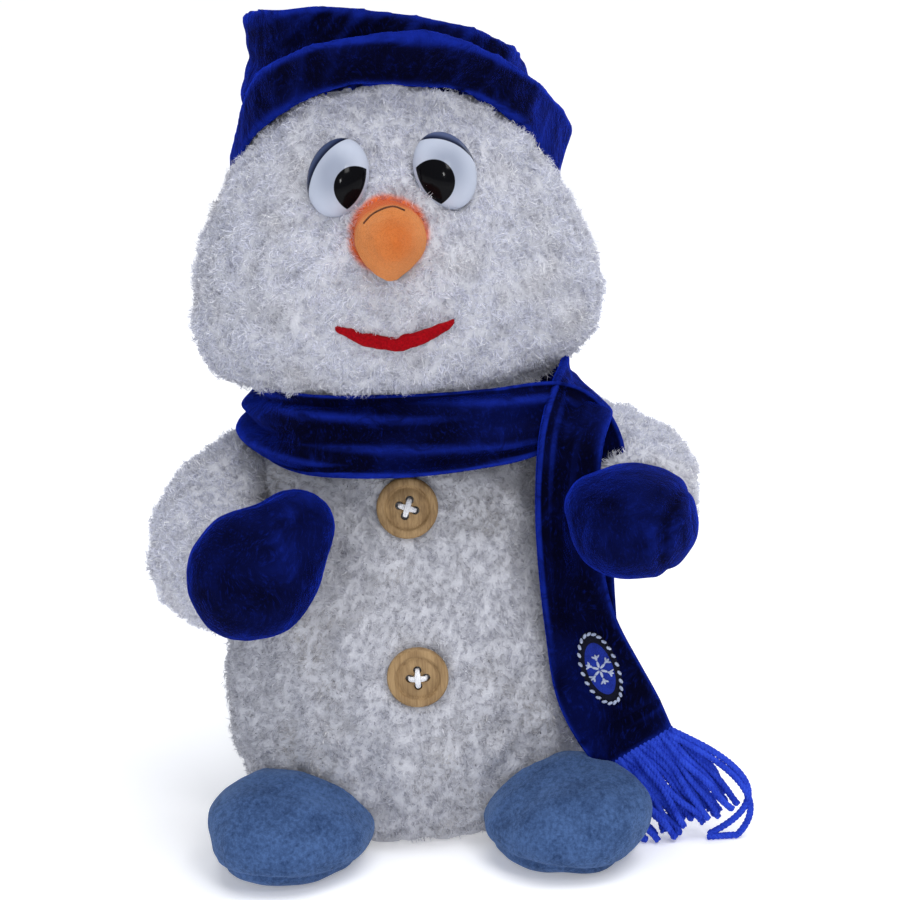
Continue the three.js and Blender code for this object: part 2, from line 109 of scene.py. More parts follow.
class Graph:
    """A node tree with short ways to add and join its nodes."""

    def __init__(self, tree: bpy.types.NodeTree) -> None:
        """Takes the tree that nodes are added to."""
        self.tree = tree

    def feed(self, socket: bpy.types.NodeSocket, value: object) -> None:
        """Links a socket to an output, or sets its constant.

        Args:
            socket: The input to fill.
            value: An output socket, or a plain value.
        """
        if isinstance(value, bpy.types.NodeSocket):
            self.tree.links.new(value, socket)
        elif socket.type == "RGBA" and len(value) == 3:
            socket.default_value = (*value, 1.0)
        else:
            socket.default_value = value

    def add(self, kind: str, inputs: dict | None = None, **settings: object) -> bpy.types.Node:
        """Adds a node.

        Args:
            kind: The node's type name.
            inputs: Values or output sockets, by input name or index.
            settings: The node's own properties.

        Returns:
            The new node.
        """
        node = self.tree.nodes.new(kind)
        for key, value in settings.items():
            setattr(node, key, value)
        for key, value in (inputs or {}).items():
            self.feed(node.inputs[key], value)
        return node

    def math(self, operation: str, *values: object) -> bpy.types.NodeSocket:
        """A Math node's result."""
        node = self.add("ShaderNodeMath", dict(enumerate(values)), operation=operation)
        return node.outputs[0]

    def vector(self, operation: str, *values: object) -> bpy.types.NodeSocket:
        """A Vector Math node's result, its number where the operation gives one."""
        node = self.add("ShaderNodeVectorMath", operation=operation)
        for socket, value in zip(node.inputs, values):
            self.feed(socket, value)
        single = operation in ("LENGTH", "DISTANCE", "DOT_PRODUCT")
        return node.outputs["Value" if single else "Vector"]

    def scaled(self, vector: object, factor: object) -> bpy.types.NodeSocket:
        """A vector times a number."""
        node = self.add("ShaderNodeVectorMath", operation="SCALE")
        self.feed(node.inputs[0], vector)
        self.feed(node.inputs["Scale"], factor)
        return node.outputs["Vector"]


class Paint(Graph):
    """A material's graph, with a Principled shader to dress."""

    def __init__(self, name: str) -> None:
        """Starts a new material with an empty graph."""
        self.material = bpy.data.materials.new(name)
        self.material.use_nodes = True
        super().__init__(self.material.node_tree)
        self.tree.nodes.clear()
        self.output = self.add("ShaderNodeOutputMaterial")
        self.shader = self.add("ShaderNodeBsdfPrincipled")
        self.tree.links.new(self.shader.outputs[0], self.output.inputs["Surface"])
        self.place = self.add("ShaderNodeTexCoord").outputs["Object"]

    def dress(self, **values: object) -> None:
        """Sets the shader's inputs; an underscore in a name stands for a space."""
        for key, value in values.items():
            self.feed(self.shader.inputs[key.replace("_", " ")], value)

    def uv(self, layer: str) -> tuple[bpy.types.NodeSocket, bpy.types.NodeSocket]:
        """The two numbers of a UV layer."""
        source = self.add("ShaderNodeUVMap", uv_map=layer)
        parts = self.add("ShaderNodeSeparateXYZ", {0: source.outputs[0]})
        return parts.outputs[0], parts.outputs[1]

    def noise(
        self, size: float, detail: float = 2.0, rough: float = 0.5, at: object = None
    ) -> bpy.types.NodeSocket:
        """Noise from 0 to 1.

        Args:
            size: The rough width of one blotch.
            detail: How many finer layers are added.
            rough: How strong the finer layers are.
            at: The coordinates, the object's own by default.

        Returns:
            The noise value.
        """
        node = self.add(
            "ShaderNodeTexNoise",
            {"Vector": at or self.place, "Scale": 1 / size, "Detail": detail, "Roughness": rough},
        )
        return node.outputs[0]

    def stretched(self, factors: Sequence[float]) -> bpy.types.NodeSocket:
        """The object's coordinates with each axis scaled."""
        return self.vector("MULTIPLY", self.place, tuple(factors))

    def span(self, value: object, low: float, high: float, smooth: bool = True) -> bpy.types.NodeSocket:
        """Value turned to 0 at low and 1 at high, clamped."""
        node = self.add(
            "ShaderNodeMapRange",
            {"Value": value, "From Min": low, "From Max": high},
            interpolation_type="SMOOTHSTEP" if smooth else "LINEAR",
        )
        return node.outputs["Result"]

    def blend(self, factor: object, first: object, second: object) -> bpy.types.NodeSocket:
        """A mix of two colours."""
        node = self.add("ShaderNodeMix", data_type="RGBA")
        self.feed(node.inputs[0], factor)
        self.feed(node.inputs[6], first)
        self.feed(node.inputs[7], second)
        return node.outputs[2]

    def bump(self, height: object, depth: float, strength: float = 1.0) -> None:
        """Feeds the shader a bump."""
        node = self.add(
            "ShaderNodeBump", {"Height": height, "Distance": depth, "Strength": strength}
        )
        self.feed(self.shader.inputs["Normal"], node.outputs[0])


# ---- Finishes -----------------------------------------------------------------------------


@dataclass(frozen=True)
class PileFinish:
    """White crushed plush fibre, lighter at its tips with painted shade towards the roots and in hollows
    between clumps, painted glints on a few fibres, tinted where the nose's dye has spread.
    """

    name: str = "plush_fibre"
    tip: Colour = (0.86, 0.87, 0.96)
    # Painted shade: the fibre colour runs from this darker root colour to the tip colour.
    root: Colour = (0.7, 0.71, 0.79)
    grey: Colour = (0.66, 0.67, 0.76)
    warm: Colour = (0.74, 0.71, 0.68)
    # Painted shade: the colour of the hollows between clumps.
    gap: Colour = (0.5, 0.5, 0.55)
    # Painted glint: the colour given to a share of the fibres.
    glint: Colour = (1.0, 1.0, 1.0)
    gap_share: float = 0.8
    dye: Colour = (0.92, 0.25, 0.09)
    dye_centre: tuple[float, float, float] = (0.0, 0.0, 0.0)
    dye_reach: tuple[float, float] = (0.0114, 0.0142)
    roughness: float = 0.22
    translucent: float = 0.42

    def build(self) -> bpy.types.Material:
        """Builds the fibre material, which reads the fibres' UV map.

        Returns:
            The material.
        """
        paint = Paint(self.name)
        chance, along = paint.uv("fibre")
        # Painted shade: each fibre is darker towards its root and lighter at its tip.
        colour = paint.blend(paint.span(along, 0.0, 0.8), self.root, self.tip)
        shade = paint.math("MULTIPLY", paint.span(chance, 0.0, 0.8, smooth=False), 0.5)
        colour = paint.blend(shade, colour, self.grey)
        patches = paint.span(paint.noise(0.022, 3), 0.45, 0.75)
        colour = paint.blend(paint.math("MULTIPLY", patches, 0.55), colour, self.warm)
        # Painted shade: noise marks hollows between clumps and darkens them towards the gap colour.
        gap_shade_mask = paint.span(paint.noise(0.0062, 3, 0.6, paint.stretched((1.0, 1.0, 1.4))), 0.5, 0.7)
        colour = paint.blend(paint.math("MULTIPLY", gap_shade_mask, self.gap_share), colour, self.gap)
        # Painted glints: fibres in one band of the random value turn to the glint colour.
        colour = paint.blend(paint.span(chance, 0.82, 0.9), colour, self.glint)
        near = paint.vector("DISTANCE", paint.place, self.dye_centre)
        near = paint.math("ADD", near, paint.math("MULTIPLY", paint.noise(0.005), 0.004))
        near = paint.math("SUBTRACT", near, 0.002)
        spread = paint.math("SUBTRACT", 1.0, paint.span(near, *self.dye_reach))
        spread = paint.math("MULTIPLY", paint.math("POWER", spread, 1.4), 0.75)
        colour = paint.blend(spread, colour, self.dye)
        paint.dress(
            Base_Color=colour,
            Roughness=self.roughness,
            Specular_IOR_Level=0.9,
            Sheen_Weight=0.15,
            Sheen_Roughness=0.4,
            Sheen_Tint=(0.92, 0.94, 1.0, 1.0),
        )
        glow = paint.add("ShaderNodeBsdfTranslucent", {"Color": colour})
        mixed = paint.add(
            "ShaderNodeMixShader",
            {0: self.translucent, 1: paint.shader.outputs[0], 2: glow.outputs[0]},
        )
        paint.feed(paint.output.inputs["Surface"], mixed.outputs[0])
        return paint.material


# Painted shade: a darker copy of the pile, used on the torso.
SHADED_PILE = PileFinish(
    name="plush_fibre_worn",
    tip=(0.66, 0.66, 0.71),
    root=(0.58, 0.58, 0.63),
    grey=(0.56, 0.57, 0.63),
    warm=(0.6, 0.575, 0.55),
    gap=(0.53, 0.525, 0.545),
    glint=(0.74, 0.75, 0.8),
    gap_share=0.55,
)


@dataclass(frozen=True)
class BackingFinish:
    """The knitted backing that the pile grows from."""

    name: str = "plush_backing"
    colour: Colour = (0.5, 0.505, 0.55)
    weft: Colour = (0.62, 0.625, 0.67)
    stitch: float = 0.0012
    dye: Colour = (0.75, 0.16, 0.04)
    dye_centre: tuple[float, float, float] = (0.0, 0.0, 0.0)
    dye_reach: tuple[float, float] = (0.0116, 0.014)

    def build(self) -> bpy.types.Material:
        """Builds the backing material."""
        paint = Paint(self.name)
        cells = paint.noise(self.stitch, 3, 0.6)
        near = paint.vector("DISTANCE", paint.place, self.dye_centre)
        dyed = paint.math("SUBTRACT", 1.0, paint.span(near, *self.dye_reach))
        paint.dress(
            Base_Color=paint.blend(dyed, paint.blend(cells, self.colour, self.weft), self.dye),
            Roughness=0.9,
            Specular_IOR_Level=0.2,
        )
        paint.bump(cells, 0.0006)
        return paint.material


@dataclass(frozen=True)
class VelvetFinish:
    """Blue velvet: nearly black face on, light blue along its edges from the shader's sheen, lighter in brush
    marks on the nap, with a painted sheen highlight on the crests of its folds.
    """

    name: str = "blue_velvet"
    deep: Colour = (0.0005, 0.0007, 0.01)
    # The nap's brush marks and the painted crest sheen both blend towards this blue.
    brushed: Colour = (0.008, 0.027, 0.38)
    sheen: Colour = (0.014, 0.06, 0.95)
    nap: float = 0.00035
    # How strongly the painted sheen highlight lies on fold crests.
    bright: float = 0.6

    def build(self) -> bpy.types.Material:
        """Builds the velvet material."""
        paint = Paint(self.name)
        swirl = paint.noise(0.03, 2, 0.5)
        warped = paint.vector("ADD", paint.stretched((1.0, 1.0, 0.6)), paint.scaled(
            paint.vector("SUBTRACT", self.colour_noise(paint), (0.5, 0.5, 0.5)), 0.02))
        marks = paint.span(paint.noise(0.011, 4, 0.6, warped), 0.5, 0.8)
        streaks = paint.noise(0.0016, 3, 0.6, paint.vector("MULTIPLY", warped, (0.25, 0.25, 1.0)))
        marks = paint.math("MULTIPLY", marks, paint.span(streaks, 0.3, 0.7))
        wide = paint.math("MULTIPLY", paint.span(swirl, 0.45, 0.7), 0.1)
        grain = paint.noise(self.nap, 2, 0.7)
        fleck = paint.noise(0.0009, 3, 0.7, paint.vector("MULTIPLY", warped, (1.0, 1.0, 0.5)))
        speck = paint.math("MULTIPLY", paint.span(fleck, 0.5, 0.78), 0.22)
        colour = paint.blend(wide, self.deep, self.brushed)
        colour = paint.blend(paint.math("MULTIPLY", marks, 0.32), colour, self.brushed)
        # Painted sheen highlight: fold crests, read from the crest attribute, blend towards the light blue,
        # broken up by streaks.
        crest = paint.add("ShaderNodeAttribute", attribute_name="crest").outputs["Fac"]
        crest = paint.math("MULTIPLY", paint.span(crest, 0.52, 0.95), paint.span(streaks, 0.1, 0.6))
        colour = paint.blend(paint.math("MULTIPLY", crest, self.bright), colour, self.brushed)
        colour = paint.blend(speck, colour, self.brushed)
        paint.dress(
            Base_Color=colour,
            Roughness=0.8,
            Specular_IOR_Level=0.03,
            Sheen_Weight=1.0,
            Sheen_Roughness=0.22,
            Sheen_Tint=(*self.sheen, 1.0),
        )
        crush = paint.noise(0.006, 2, 0.5)
        height = paint.math("ADD", paint.math("MULTIPLY", grain, 0.4), paint.math("MULTIPLY", crush, 2.0))
        height = paint.math("ADD", height, paint.math("MULTIPLY", fleck, 0.8))
        paint.bump(height, 0.0006, 0.9)
        return paint.material

    @staticmethod
    def colour_noise(paint: Paint) -> bpy.types.NodeSocket:
        """Three channels of slow noise that bend the nap's marks."""
        node = paint.add("ShaderNodeTexNoise", {"Vector": paint.place, "Scale": 40.0, "Detail": 2.0})
        return node.outputs["Color"]


@dataclass(frozen=True)
class FleeceFinish:
    """Slate-blue fleece with a short mottled nap."""

    name: str = "slate_fleece"
    light: Colour = (0.078, 0.15, 0.34)
    dark: Colour = (0.012, 0.03, 0.09)

    def build(self) -> bpy.types.Material:
        """Builds the fleece material."""
        paint = Paint(self.name)
        cloud = paint.noise(0.011, 4, 0.65)
        nap = paint.noise(0.0013, 4, 0.75, paint.stretched((1.0, 0.6, 1.0)))
        tone = paint.math("ADD", paint.math("MULTIPLY", cloud, 0.45), paint.math("MULTIPLY", nap, 0.65))
        paint.dress(
            Base_Color=paint.blend(paint.span(tone, 0.3, 0.8), self.dark, self.light),
            Roughness=0.95,
            Specular_IOR_Level=0.1,
            Sheen_Weight=0.3,
            Sheen_Roughness=0.4,
            Sheen_Tint=(0.4, 0.6, 1.0, 1.0),
        )
        paint.bump(nap, 0.0007, 0.8)
        return paint.material


@dataclass(frozen=True)
class YarnFinish:
    """Twisted yarn: its own colour, mottled darker by fine and coarse noise."""

    name: str
    light: Colour
    dark: Colour
    sheen: float = 0.3

    def build(self) -> bpy.types.Material:
        """Builds the yarn material, with fine fibre streaks."""
        paint = Paint(self.name)
        fuzz = paint.noise(0.00045, 3, 0.7)
        cloud = paint.math("MULTIPLY", paint.noise(0.004), 0.5)
        tone = paint.math("ADD", cloud, paint.math("MULTIPLY", fuzz, 0.6))
        paint.dress(
            Base_Color=paint.blend(paint.span(tone, 0.3, 0.75), self.dark, self.light),
            Roughness=0.85,
            Specular_IOR_Level=0.15,
            Sheen_Weight=self.sheen,
            Sheen_Roughness=0.4,
            Sheen_Tint=(*self.light, 1.0),
        )
        paint.bump(fuzz, 0.0003, 0.8)
        return paint.material


@dataclass(frozen=True)
class EyeFinish:
    """A moulded eye: bluish white, painted lighter towards its rim, with a pupil printed low on the inner
    side and a dark brow that a painted reflection lightens towards the dome's rim.

    The eye's UV map gives a point's place on the dome, from -1 to 1 across and up it, with
    positive across towards the nose.
    """

    name: str
    pupil_centre: tuple[float, float]
    brow_centre: tuple[float, float]
    brow_radius: float
    # Painted reflection: the blue-grey that the brow turns to away from its inner edge.
    brow_light: Colour
    pupil_radius: float = 0.7
    rim: float = 0.94
    white: Colour = (0.29, 0.32, 0.4)
    # Painted light: the white turns to this lighter colour towards the dome's rim.
    pearl: Colour = (0.5, 0.54, 0.64)
    pupil: Colour = (0.003, 0.003, 0.004)
    brow: Colour = (0.008, 0.011, 0.03)
    aspect: float = 1.28

    def build(self) -> bpy.types.Material:
        """Builds the eye material."""
        paint = Paint(self.name)
        across, up = paint.uv("dome")

        def ring(centre: tuple[float, float], stretch: float) -> bpy.types.NodeSocket:
            """Distance from a centre, in half widths of the eye."""
            x = paint.math("SUBTRACT", across, centre[0])
            y = paint.math("MULTIPLY", paint.math("SUBTRACT", up, centre[1]), stretch)
            squares = paint.math("ADD", paint.math("MULTIPLY", x, x), paint.math("MULTIPLY", y, y))
            return paint.math("SQRT", squares)

        soft = 0.02
        edge = ring((0.0, 0.0), 1.0)
        disc = paint.span(ring(self.pupil_centre, self.aspect), self.pupil_radius + soft, self.pupil_radius)
        inside = paint.span(edge, self.rim + soft, self.rim)
        pupil = paint.math("MULTIPLY", disc, inside)
        from_brow = ring(self.brow_centre, self.aspect)
        outer = paint.span(from_brow, self.brow_radius, self.brow_radius + soft)
        # Painted reflection: the brow grades from dark at its inner edge to a lighter blue-grey.
        lit = paint.span(from_brow, self.brow_radius + 0.03, self.brow_radius + 0.24)
        brow = paint.blend(lit, self.brow, self.brow_light)
        # Painted light: the white is lighter towards the rim.
        colour = paint.blend(paint.span(edge, 0.2, 1.0), self.white, self.pearl)
        colour = paint.blend(outer, colour, brow)
        colour = paint.blend(pupil, colour, self.pupil)
        paint.dress(
            Base_Color=colour,
            Roughness=0.1,
            Specular_IOR_Level=0.08,
        )
        paint.bump(paint.noise(0.006, 2), 0.00006, 0.4)
        return paint.material


@dataclass(frozen=True)
class VelourFinish:
    """Orange velour, darker towards a spot on its front and redder round its base."""

    base_point: tuple[float, float, float]
    tip_point: tuple[float, float, float]
    name: str = "orange_velour"
    light: Colour = (0.78, 0.265, 0.075)
    front: Colour = (0.58, 0.13, 0.024)
    rim: Colour = (0.74, 0.12, 0.03)
    speck: Colour = (0.4, 0.075, 0.012)
    spray_aside: tuple[float, float, float] = (0.0042, 0.0, 0.003)

    def build(self) -> bpy.types.Material:
        """Builds the velour material."""
        paint = Paint(self.name)
        nap = paint.noise(0.0007, 4, 0.8)
        cloud = paint.noise(0.005, 3, 0.6)
        front_spot = tuple(Vector(self.tip_point) + Vector(self.spray_aside))
        to_tip = paint.vector("DISTANCE", paint.place, front_spot)
        to_tip = paint.math("ADD", to_tip, paint.math("MULTIPLY", cloud, 0.01))
        axis = (Vector(self.tip_point) - Vector(self.base_point)).normalized()
        from_base = paint.vector("SUBTRACT", paint.place, self.base_point)
        along = paint.vector("DOT_PRODUCT", from_base, tuple(axis))
        along = paint.math("ADD", along, paint.math("MULTIPLY", cloud, 0.002))
        darker_front = paint.math("MULTIPLY", paint.span(to_tip, 0.023, 0.007), 0.75)
        colour = paint.blend(darker_front, self.light, self.front)
        colour = paint.blend(paint.span(along, 0.0078, 0.0045), colour, self.rim)
        speckle = paint.math("MULTIPLY", paint.span(nap, 0.47, 0.6), 0.34)
        paint.dress(
            Base_Color=paint.blend(speckle, colour, self.speck),
            Roughness=0.95,
            Specular_IOR_Level=0.08,
            Sheen_Weight=0.35,
            Sheen_Roughness=0.3,
            Sheen_Tint=(1.0, 0.66, 0.38, 1.0),
        )
        paint.bump(nap, 0.0007, 0.9)
        return paint.material


@dataclass(frozen=True)
class FeltFinish:
    """Red felt with a fine matted surface."""

    name: str = "red_felt"
    light: Colour = (0.42, 0.002, 0.008)
    dark: Colour = (0.2, 0.0, 0.003)

    def build(self) -> bpy.types.Material:
        """Builds the felt material."""
        paint = Paint(self.name)
        mat = paint.noise(0.0006, 4, 0.75)
        paint.dress(
            Base_Color=paint.blend(paint.span(mat, 0.3, 0.7), self.dark, self.light),
            Roughness=0.95,
            Specular_IOR_Level=0.1,
            Sheen_Weight=0.12,
            Sheen_Roughness=0.5,
            Sheen_Tint=(1.0, 0.08, 0.08, 1.0),
        )
        paint.bump(mat, 0.0006, 0.9)
        return paint.material


@dataclass(frozen=True)
class WoodFinish:
    """Plain turned wood with a straight grain up and down."""

    name: str = "button_wood"
    light: Colour = (0.4, 0.262, 0.125)
    dark: Colour = (0.2, 0.118, 0.05)

    def build(self) -> bpy.types.Material:
        """Builds the wood material."""
        paint = Paint(self.name)
        fibre = paint.noise(0.00055, 4, 0.6, paint.stretched((1.0, 1.0, 0.06)))
        bands = paint.noise(0.0035, 2, 0.5, paint.stretched((1.0, 1.0, 0.12)))
        tone = paint.math("ADD", paint.math("MULTIPLY", fibre, 0.55), paint.math("MULTIPLY", bands, 0.5))
        pores = paint.span(fibre, 0.3, 0.2)
        colour = paint.blend(paint.span(tone, 0.35, 0.72), self.dark, self.light)
        paint.dress(
            Base_Color=paint.blend(paint.math("MULTIPLY", pores, 0.6), colour, (0.12, 0.055, 0.02)),
            Roughness=0.6,
            Specular_IOR_Level=0.3,
        )
        paint.bump(fibre, 0.00012, 0.6)
        return paint.material


@dataclass(frozen=True)
class FloorFinish:
    """A plain pale floor."""

    name: str = "pale_floor"
    colour: Colour = (0.93, 0.93, 0.94)

    def build(self) -> bpy.types.Material:
        """Builds the floor material."""
        paint = Paint(self.name)
        paint.dress(
            Base_Color=self.colour,
            Roughness=0.85,
            Specular_IOR_Level=0.1,
            Emission_Color=(1.0, 1.0, 1.0, 1.0),
            Emission_Strength=0.26,
        )
        return paint.material


# ---- Meshes -------------------------------------------------------------------------------


def place(name: str, mesh: bpy.types.Mesh, material: bpy.types.Material | None = None) -> bpy.types.Object:
    """Links a mesh into the scene as an object at the origin.

    Args:
        name: The piece's name.
        mesh: Its mesh, with its place in its vertices.
        material: The finish, which replaces any that it has.

    Returns:
        The new object, shaded smooth.
    """
    mesh.name = name
    if material is not None:
        mesh.materials.clear()
        mesh.materials.append(material)
    mesh.polygons.foreach_set("use_smooth", [True] * len(mesh.polygons))
    piece = bpy.data.objects.new(name, mesh)
    bpy.context.scene.collection.objects.link(piece)
    return piece


def mesh_of(name: str, points: Sequence, faces: Sequence) -> bpy.types.Mesh:
    """A mesh from points and faces, with its faces turned outwards."""
    mesh = bpy.data.meshes.new(name)
    mesh.from_pydata([tuple(p) for p in points], [], [tuple(f) for f in faces])
    tool = bmesh.new()
    tool.from_mesh(mesh)
    bmesh.ops.recalc_face_normals(tool, faces=tool.faces)
    tool.to_mesh(mesh)
    tool.free()
    return mesh


def weld(mesh: bpy.types.Mesh, distance: float, outwards: bool = True) -> None:
    """Joins the points of a mesh that meet.

    Args:
        mesh: The mesh to weld.
        distance: How near two points are when they count as one.
        outwards: Whether the faces are turned outwards too.
    """
    tool = bmesh.new()
    tool.from_mesh(mesh)
    bmesh.ops.remove_doubles(tool, verts=tool.verts, dist=distance)
    if outwards:
        bmesh.ops.recalc_face_normals(tool, faces=tool.faces)
    tool.to_mesh(mesh)
    tool.free()


def poured(tool: bmesh.types.BMesh, name: str) -> bpy.types.Object:
    """A helper object with what an edit mesh holds, which is freed."""
    mesh = bpy.data.meshes.new(name)
    tool.to_mesh(mesh)
    tool.free()
    return place(name, mesh)


def evaluated(piece: bpy.types.Object) -> bpy.types.Mesh:
    """The mesh of an object with its modifiers applied."""
    bpy.context.view_layer.update()
    graph = bpy.context.evaluated_depsgraph_get()
    return bpy.data.meshes.new_from_object(
        piece.evaluated_get(graph), preserve_all_data_layers=True, depsgraph=graph
    )


def settle(piece: bpy.types.Object) -> bpy.types.Object:
    """Applies an object's modifiers to its mesh."""
    mesh = evaluated(piece)
    old = piece.data
    piece.modifiers.clear()
    piece.data = mesh
    mesh.name = piece.name
    bpy.data.meshes.remove(old)
    mesh.polygons.foreach_set("use_smooth", [True] * len(mesh.polygons))
    return piece


def discard(piece: bpy.types.Object) -> None:
    """Removes a helper object and its mesh."""
    mesh = piece.data
    bpy.data.objects.remove(piece)
    if mesh is not None and mesh.users == 0:
        bpy.data.meshes.remove(mesh)


def points_of(mesh: bpy.types.Mesh) -> np.ndarray:
    """A mesh's vertices as an array of rows."""
    flat = np.empty(len(mesh.vertices) * 3, np.float32)
    mesh.vertices.foreach_get("co", flat)
    return flat.reshape(-1, 3).astype(float)


def normals_of(mesh: bpy.types.Mesh) -> np.ndarray:
    """A mesh's vertex normals as an array of rows."""
    flat = np.empty(len(mesh.vertices) * 3, np.float32)
    mesh.vertices.foreach_get("normal", flat)
    return flat.reshape(-1, 3).astype(float)


def skin_of(piece: bpy.types.Object) -> tuple[np.ndarray, np.ndarray]:
    """A piece's points and their normals, one row each."""
    return points_of(piece.data), normals_of(piece.data)


def reshape(piece: bpy.types.Object, points: np.ndarray) -> None:
    """Moves an object's vertices to the given rows."""
    piece.data.vertices.foreach_set("co", points.astype(np.float32).ravel())
    piece.data.update()


def solid_copy(node: str, name: str) -> bpy.types.Object:
    """A copy of a CAD node's mesh, with its loose triangles joined.

    Args:
        node: The CAD node's name.
        name: The new piece's name.

    Returns:
        The new object.
    """
    mesh = frame["nodes"][node].data.copy()
    weld(mesh, 1e-6, outwards=False)
    return place(name, mesh)


def soft_copy(node: str, name: str, voxel: float, rounds: int) -> bpy.types.Object:
    """A CAD solid with its facets melted into a smooth, even skin.

    Args:
        node: The CAD node's name.
        name: The new piece's name.
        voxel: The remesh size.
        rounds: How many times the skin is smoothed.

    Returns:
        The new object.
    """
    piece = solid_copy(node, name)
    remesh = piece.modifiers.new("remesh", "REMESH")
    remesh.mode = "VOXEL"
    remesh.voxel_size = voxel
    smooth = piece.modifiers.new("smooth", "SMOOTH")
    smooth.factor = 0.5
    smooth.iterations = rounds
    return settle(piece)


def rumple(piece: bpy.types.Object, size: float, depth: float, seed: float = 0.0) -> None:
    """Moves a skin in and out by smooth noise.

    Args:
        piece: The piece to move.
        size: The width of one lump.
        depth: How far a lump may stand out.
        seed: Shifts the noise, so that pieces differ.
    """
    points = points_of(piece.data)
    normals = normals_of(piece.data)
    lumps = np.array([noise.noise(Vector(p) / size + Vector((seed, seed, seed))) for p in points])
    reshape(piece, points + normals * (lumps * depth)[:, None])


def mark_crests(piece: bpy.types.Object, rounds: int = 3, full: float = 260.0) -> None:
    """Stores how far each point stands out as "crest": 0.5 where flat, towards 1 on a fold's crest.

    Args:
        piece: The piece to mark.
        rounds: How often the marks are evened out.
        full: The curvature, in 1/m, that counts as a full crest.
    """
    mesh = piece.data
    ends = np.empty(len(mesh.edges) * 2, np.int32)
    mesh.edges.foreach_get("vertices", ends)
    a, b = ends.reshape(-1, 2).T
    points, normals = points_of(mesh), normals_of(mesh)
    count = np.maximum(np.bincount(np.concatenate([a, b]), minlength=len(points)), 1)

    here = np.concatenate([a, b])

    def around(values: np.ndarray) -> np.ndarray:
        """The mean of a value over each point's neighbours."""
        return np.bincount(here, np.concatenate([values[b], values[a]]), len(points)) / count

    steps = points[b] - points[a]
    square = np.maximum((steps**2).sum(1), 1e-12)
    bend_a = -(steps * normals[a]).sum(1) / square
    bend_b = (steps * normals[b]).sum(1) / square
    bend = np.bincount(here, np.concatenate([bend_a, bend_b]), len(points)) / count
    for _ in range(rounds):
        bend = 0.5 * bend + 0.5 * around(bend)
    layer = mesh.attributes.new("crest", "FLOAT", "POINT")
    layer.data.foreach_set("value", np.clip(0.5 + bend / full, 0, 1).astype(np.float32))


def coat(piece: bpy.types.Object, finish: bpy.types.Material) -> None:
    """Gives a piece one finish in place of any others."""
    piece.data.materials.clear()
    piece.data.materials.append(finish)


def present(piece: bpy.types.Object, slot: Slot, *nodes: str) -> bpy.types.Object:
    """Joins a finished piece to the model.

    Args:
        piece: The finished object.
        slot: The piece's material slot; not used.
        nodes: The CAD nodes it stands for.

    Returns:
        The same object.
    """
    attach(piece, BODY)
    if nodes:
        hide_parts(*nodes)
    log.info("%s: %d faces", piece.name, len(piece.data.polygons))
    return piece


def ring_faces(rings: int, around: int, caps: bool = True) -> list[tuple[int, ...]]:
    """Faces that join rings of points into a tube.

    Args:
        rings: How many rings there are.
        around: How many points each ring has.
        caps: Whether the two ends are closed.

    Returns:
        The faces, as tuples of point numbers.
    """
    faces: list[tuple[int, ...]] = []
    for i in range(rings - 1):
        j = i + 1
        for k in range(around):
            m = (k + 1) % around
            faces.append((i * around + k, i * around + m, j * around + m, j * around + k))
    if caps:
        faces.append(tuple(range(around - 1, -1, -1)))
        faces.append(tuple((rings - 1) * around + k for k in range(around)))
    return faces


def travel(points: np.ndarray) -> np.ndarray:
    """The distance travelled along a line at each of its points."""
    steps = np.linalg.norm(np.diff(points, axis=0), axis=1)
    return np.concatenate([[0], np.cumsum(steps)])


def smooth_path(stations: Sequence[Sequence[float]], count: int) -> np.ndarray:
    """Points evenly spread along a smooth curve through the stations.

    Args:
        stations: Rows of any length; the first three numbers of each are its place.
        count: How many points to give.

    Returns:
        One row for each point.
    """
    rows = np.asarray(stations, float)
    fine = []
    for i in range(len(rows) - 1):
        before = rows[max(i - 1, 0)]
        after = rows[min(i + 2, len(rows) - 1)]
        a, b = rows[i], rows[i + 1]
        for t in np.linspace(0, 1, 24, endpoint=False):
            fine.append(
                0.5 * (2 * a + (b - before) * t + (2 * before - 5 * a + 4 * b - after) * t**2
                       + (3 * a - before - 3 * b + after) * t**3)
            )
    fine.append(rows[-1])
    fine = np.array(fine)
    travelled = travel(fine[:, :3])
    wanted = np.linspace(0, travelled[-1], count)
    return np.stack([np.interp(wanted, travelled, column) for column in fine.T], axis=1)


def unit(rows: np.ndarray) -> np.ndarray:
    """Rows scaled to length one."""
    return rows / np.maximum(np.linalg.norm(rows, axis=-1, keepdims=True), 1e-12)


# ---- Geometry Nodes -----------------------------------------------------------------------


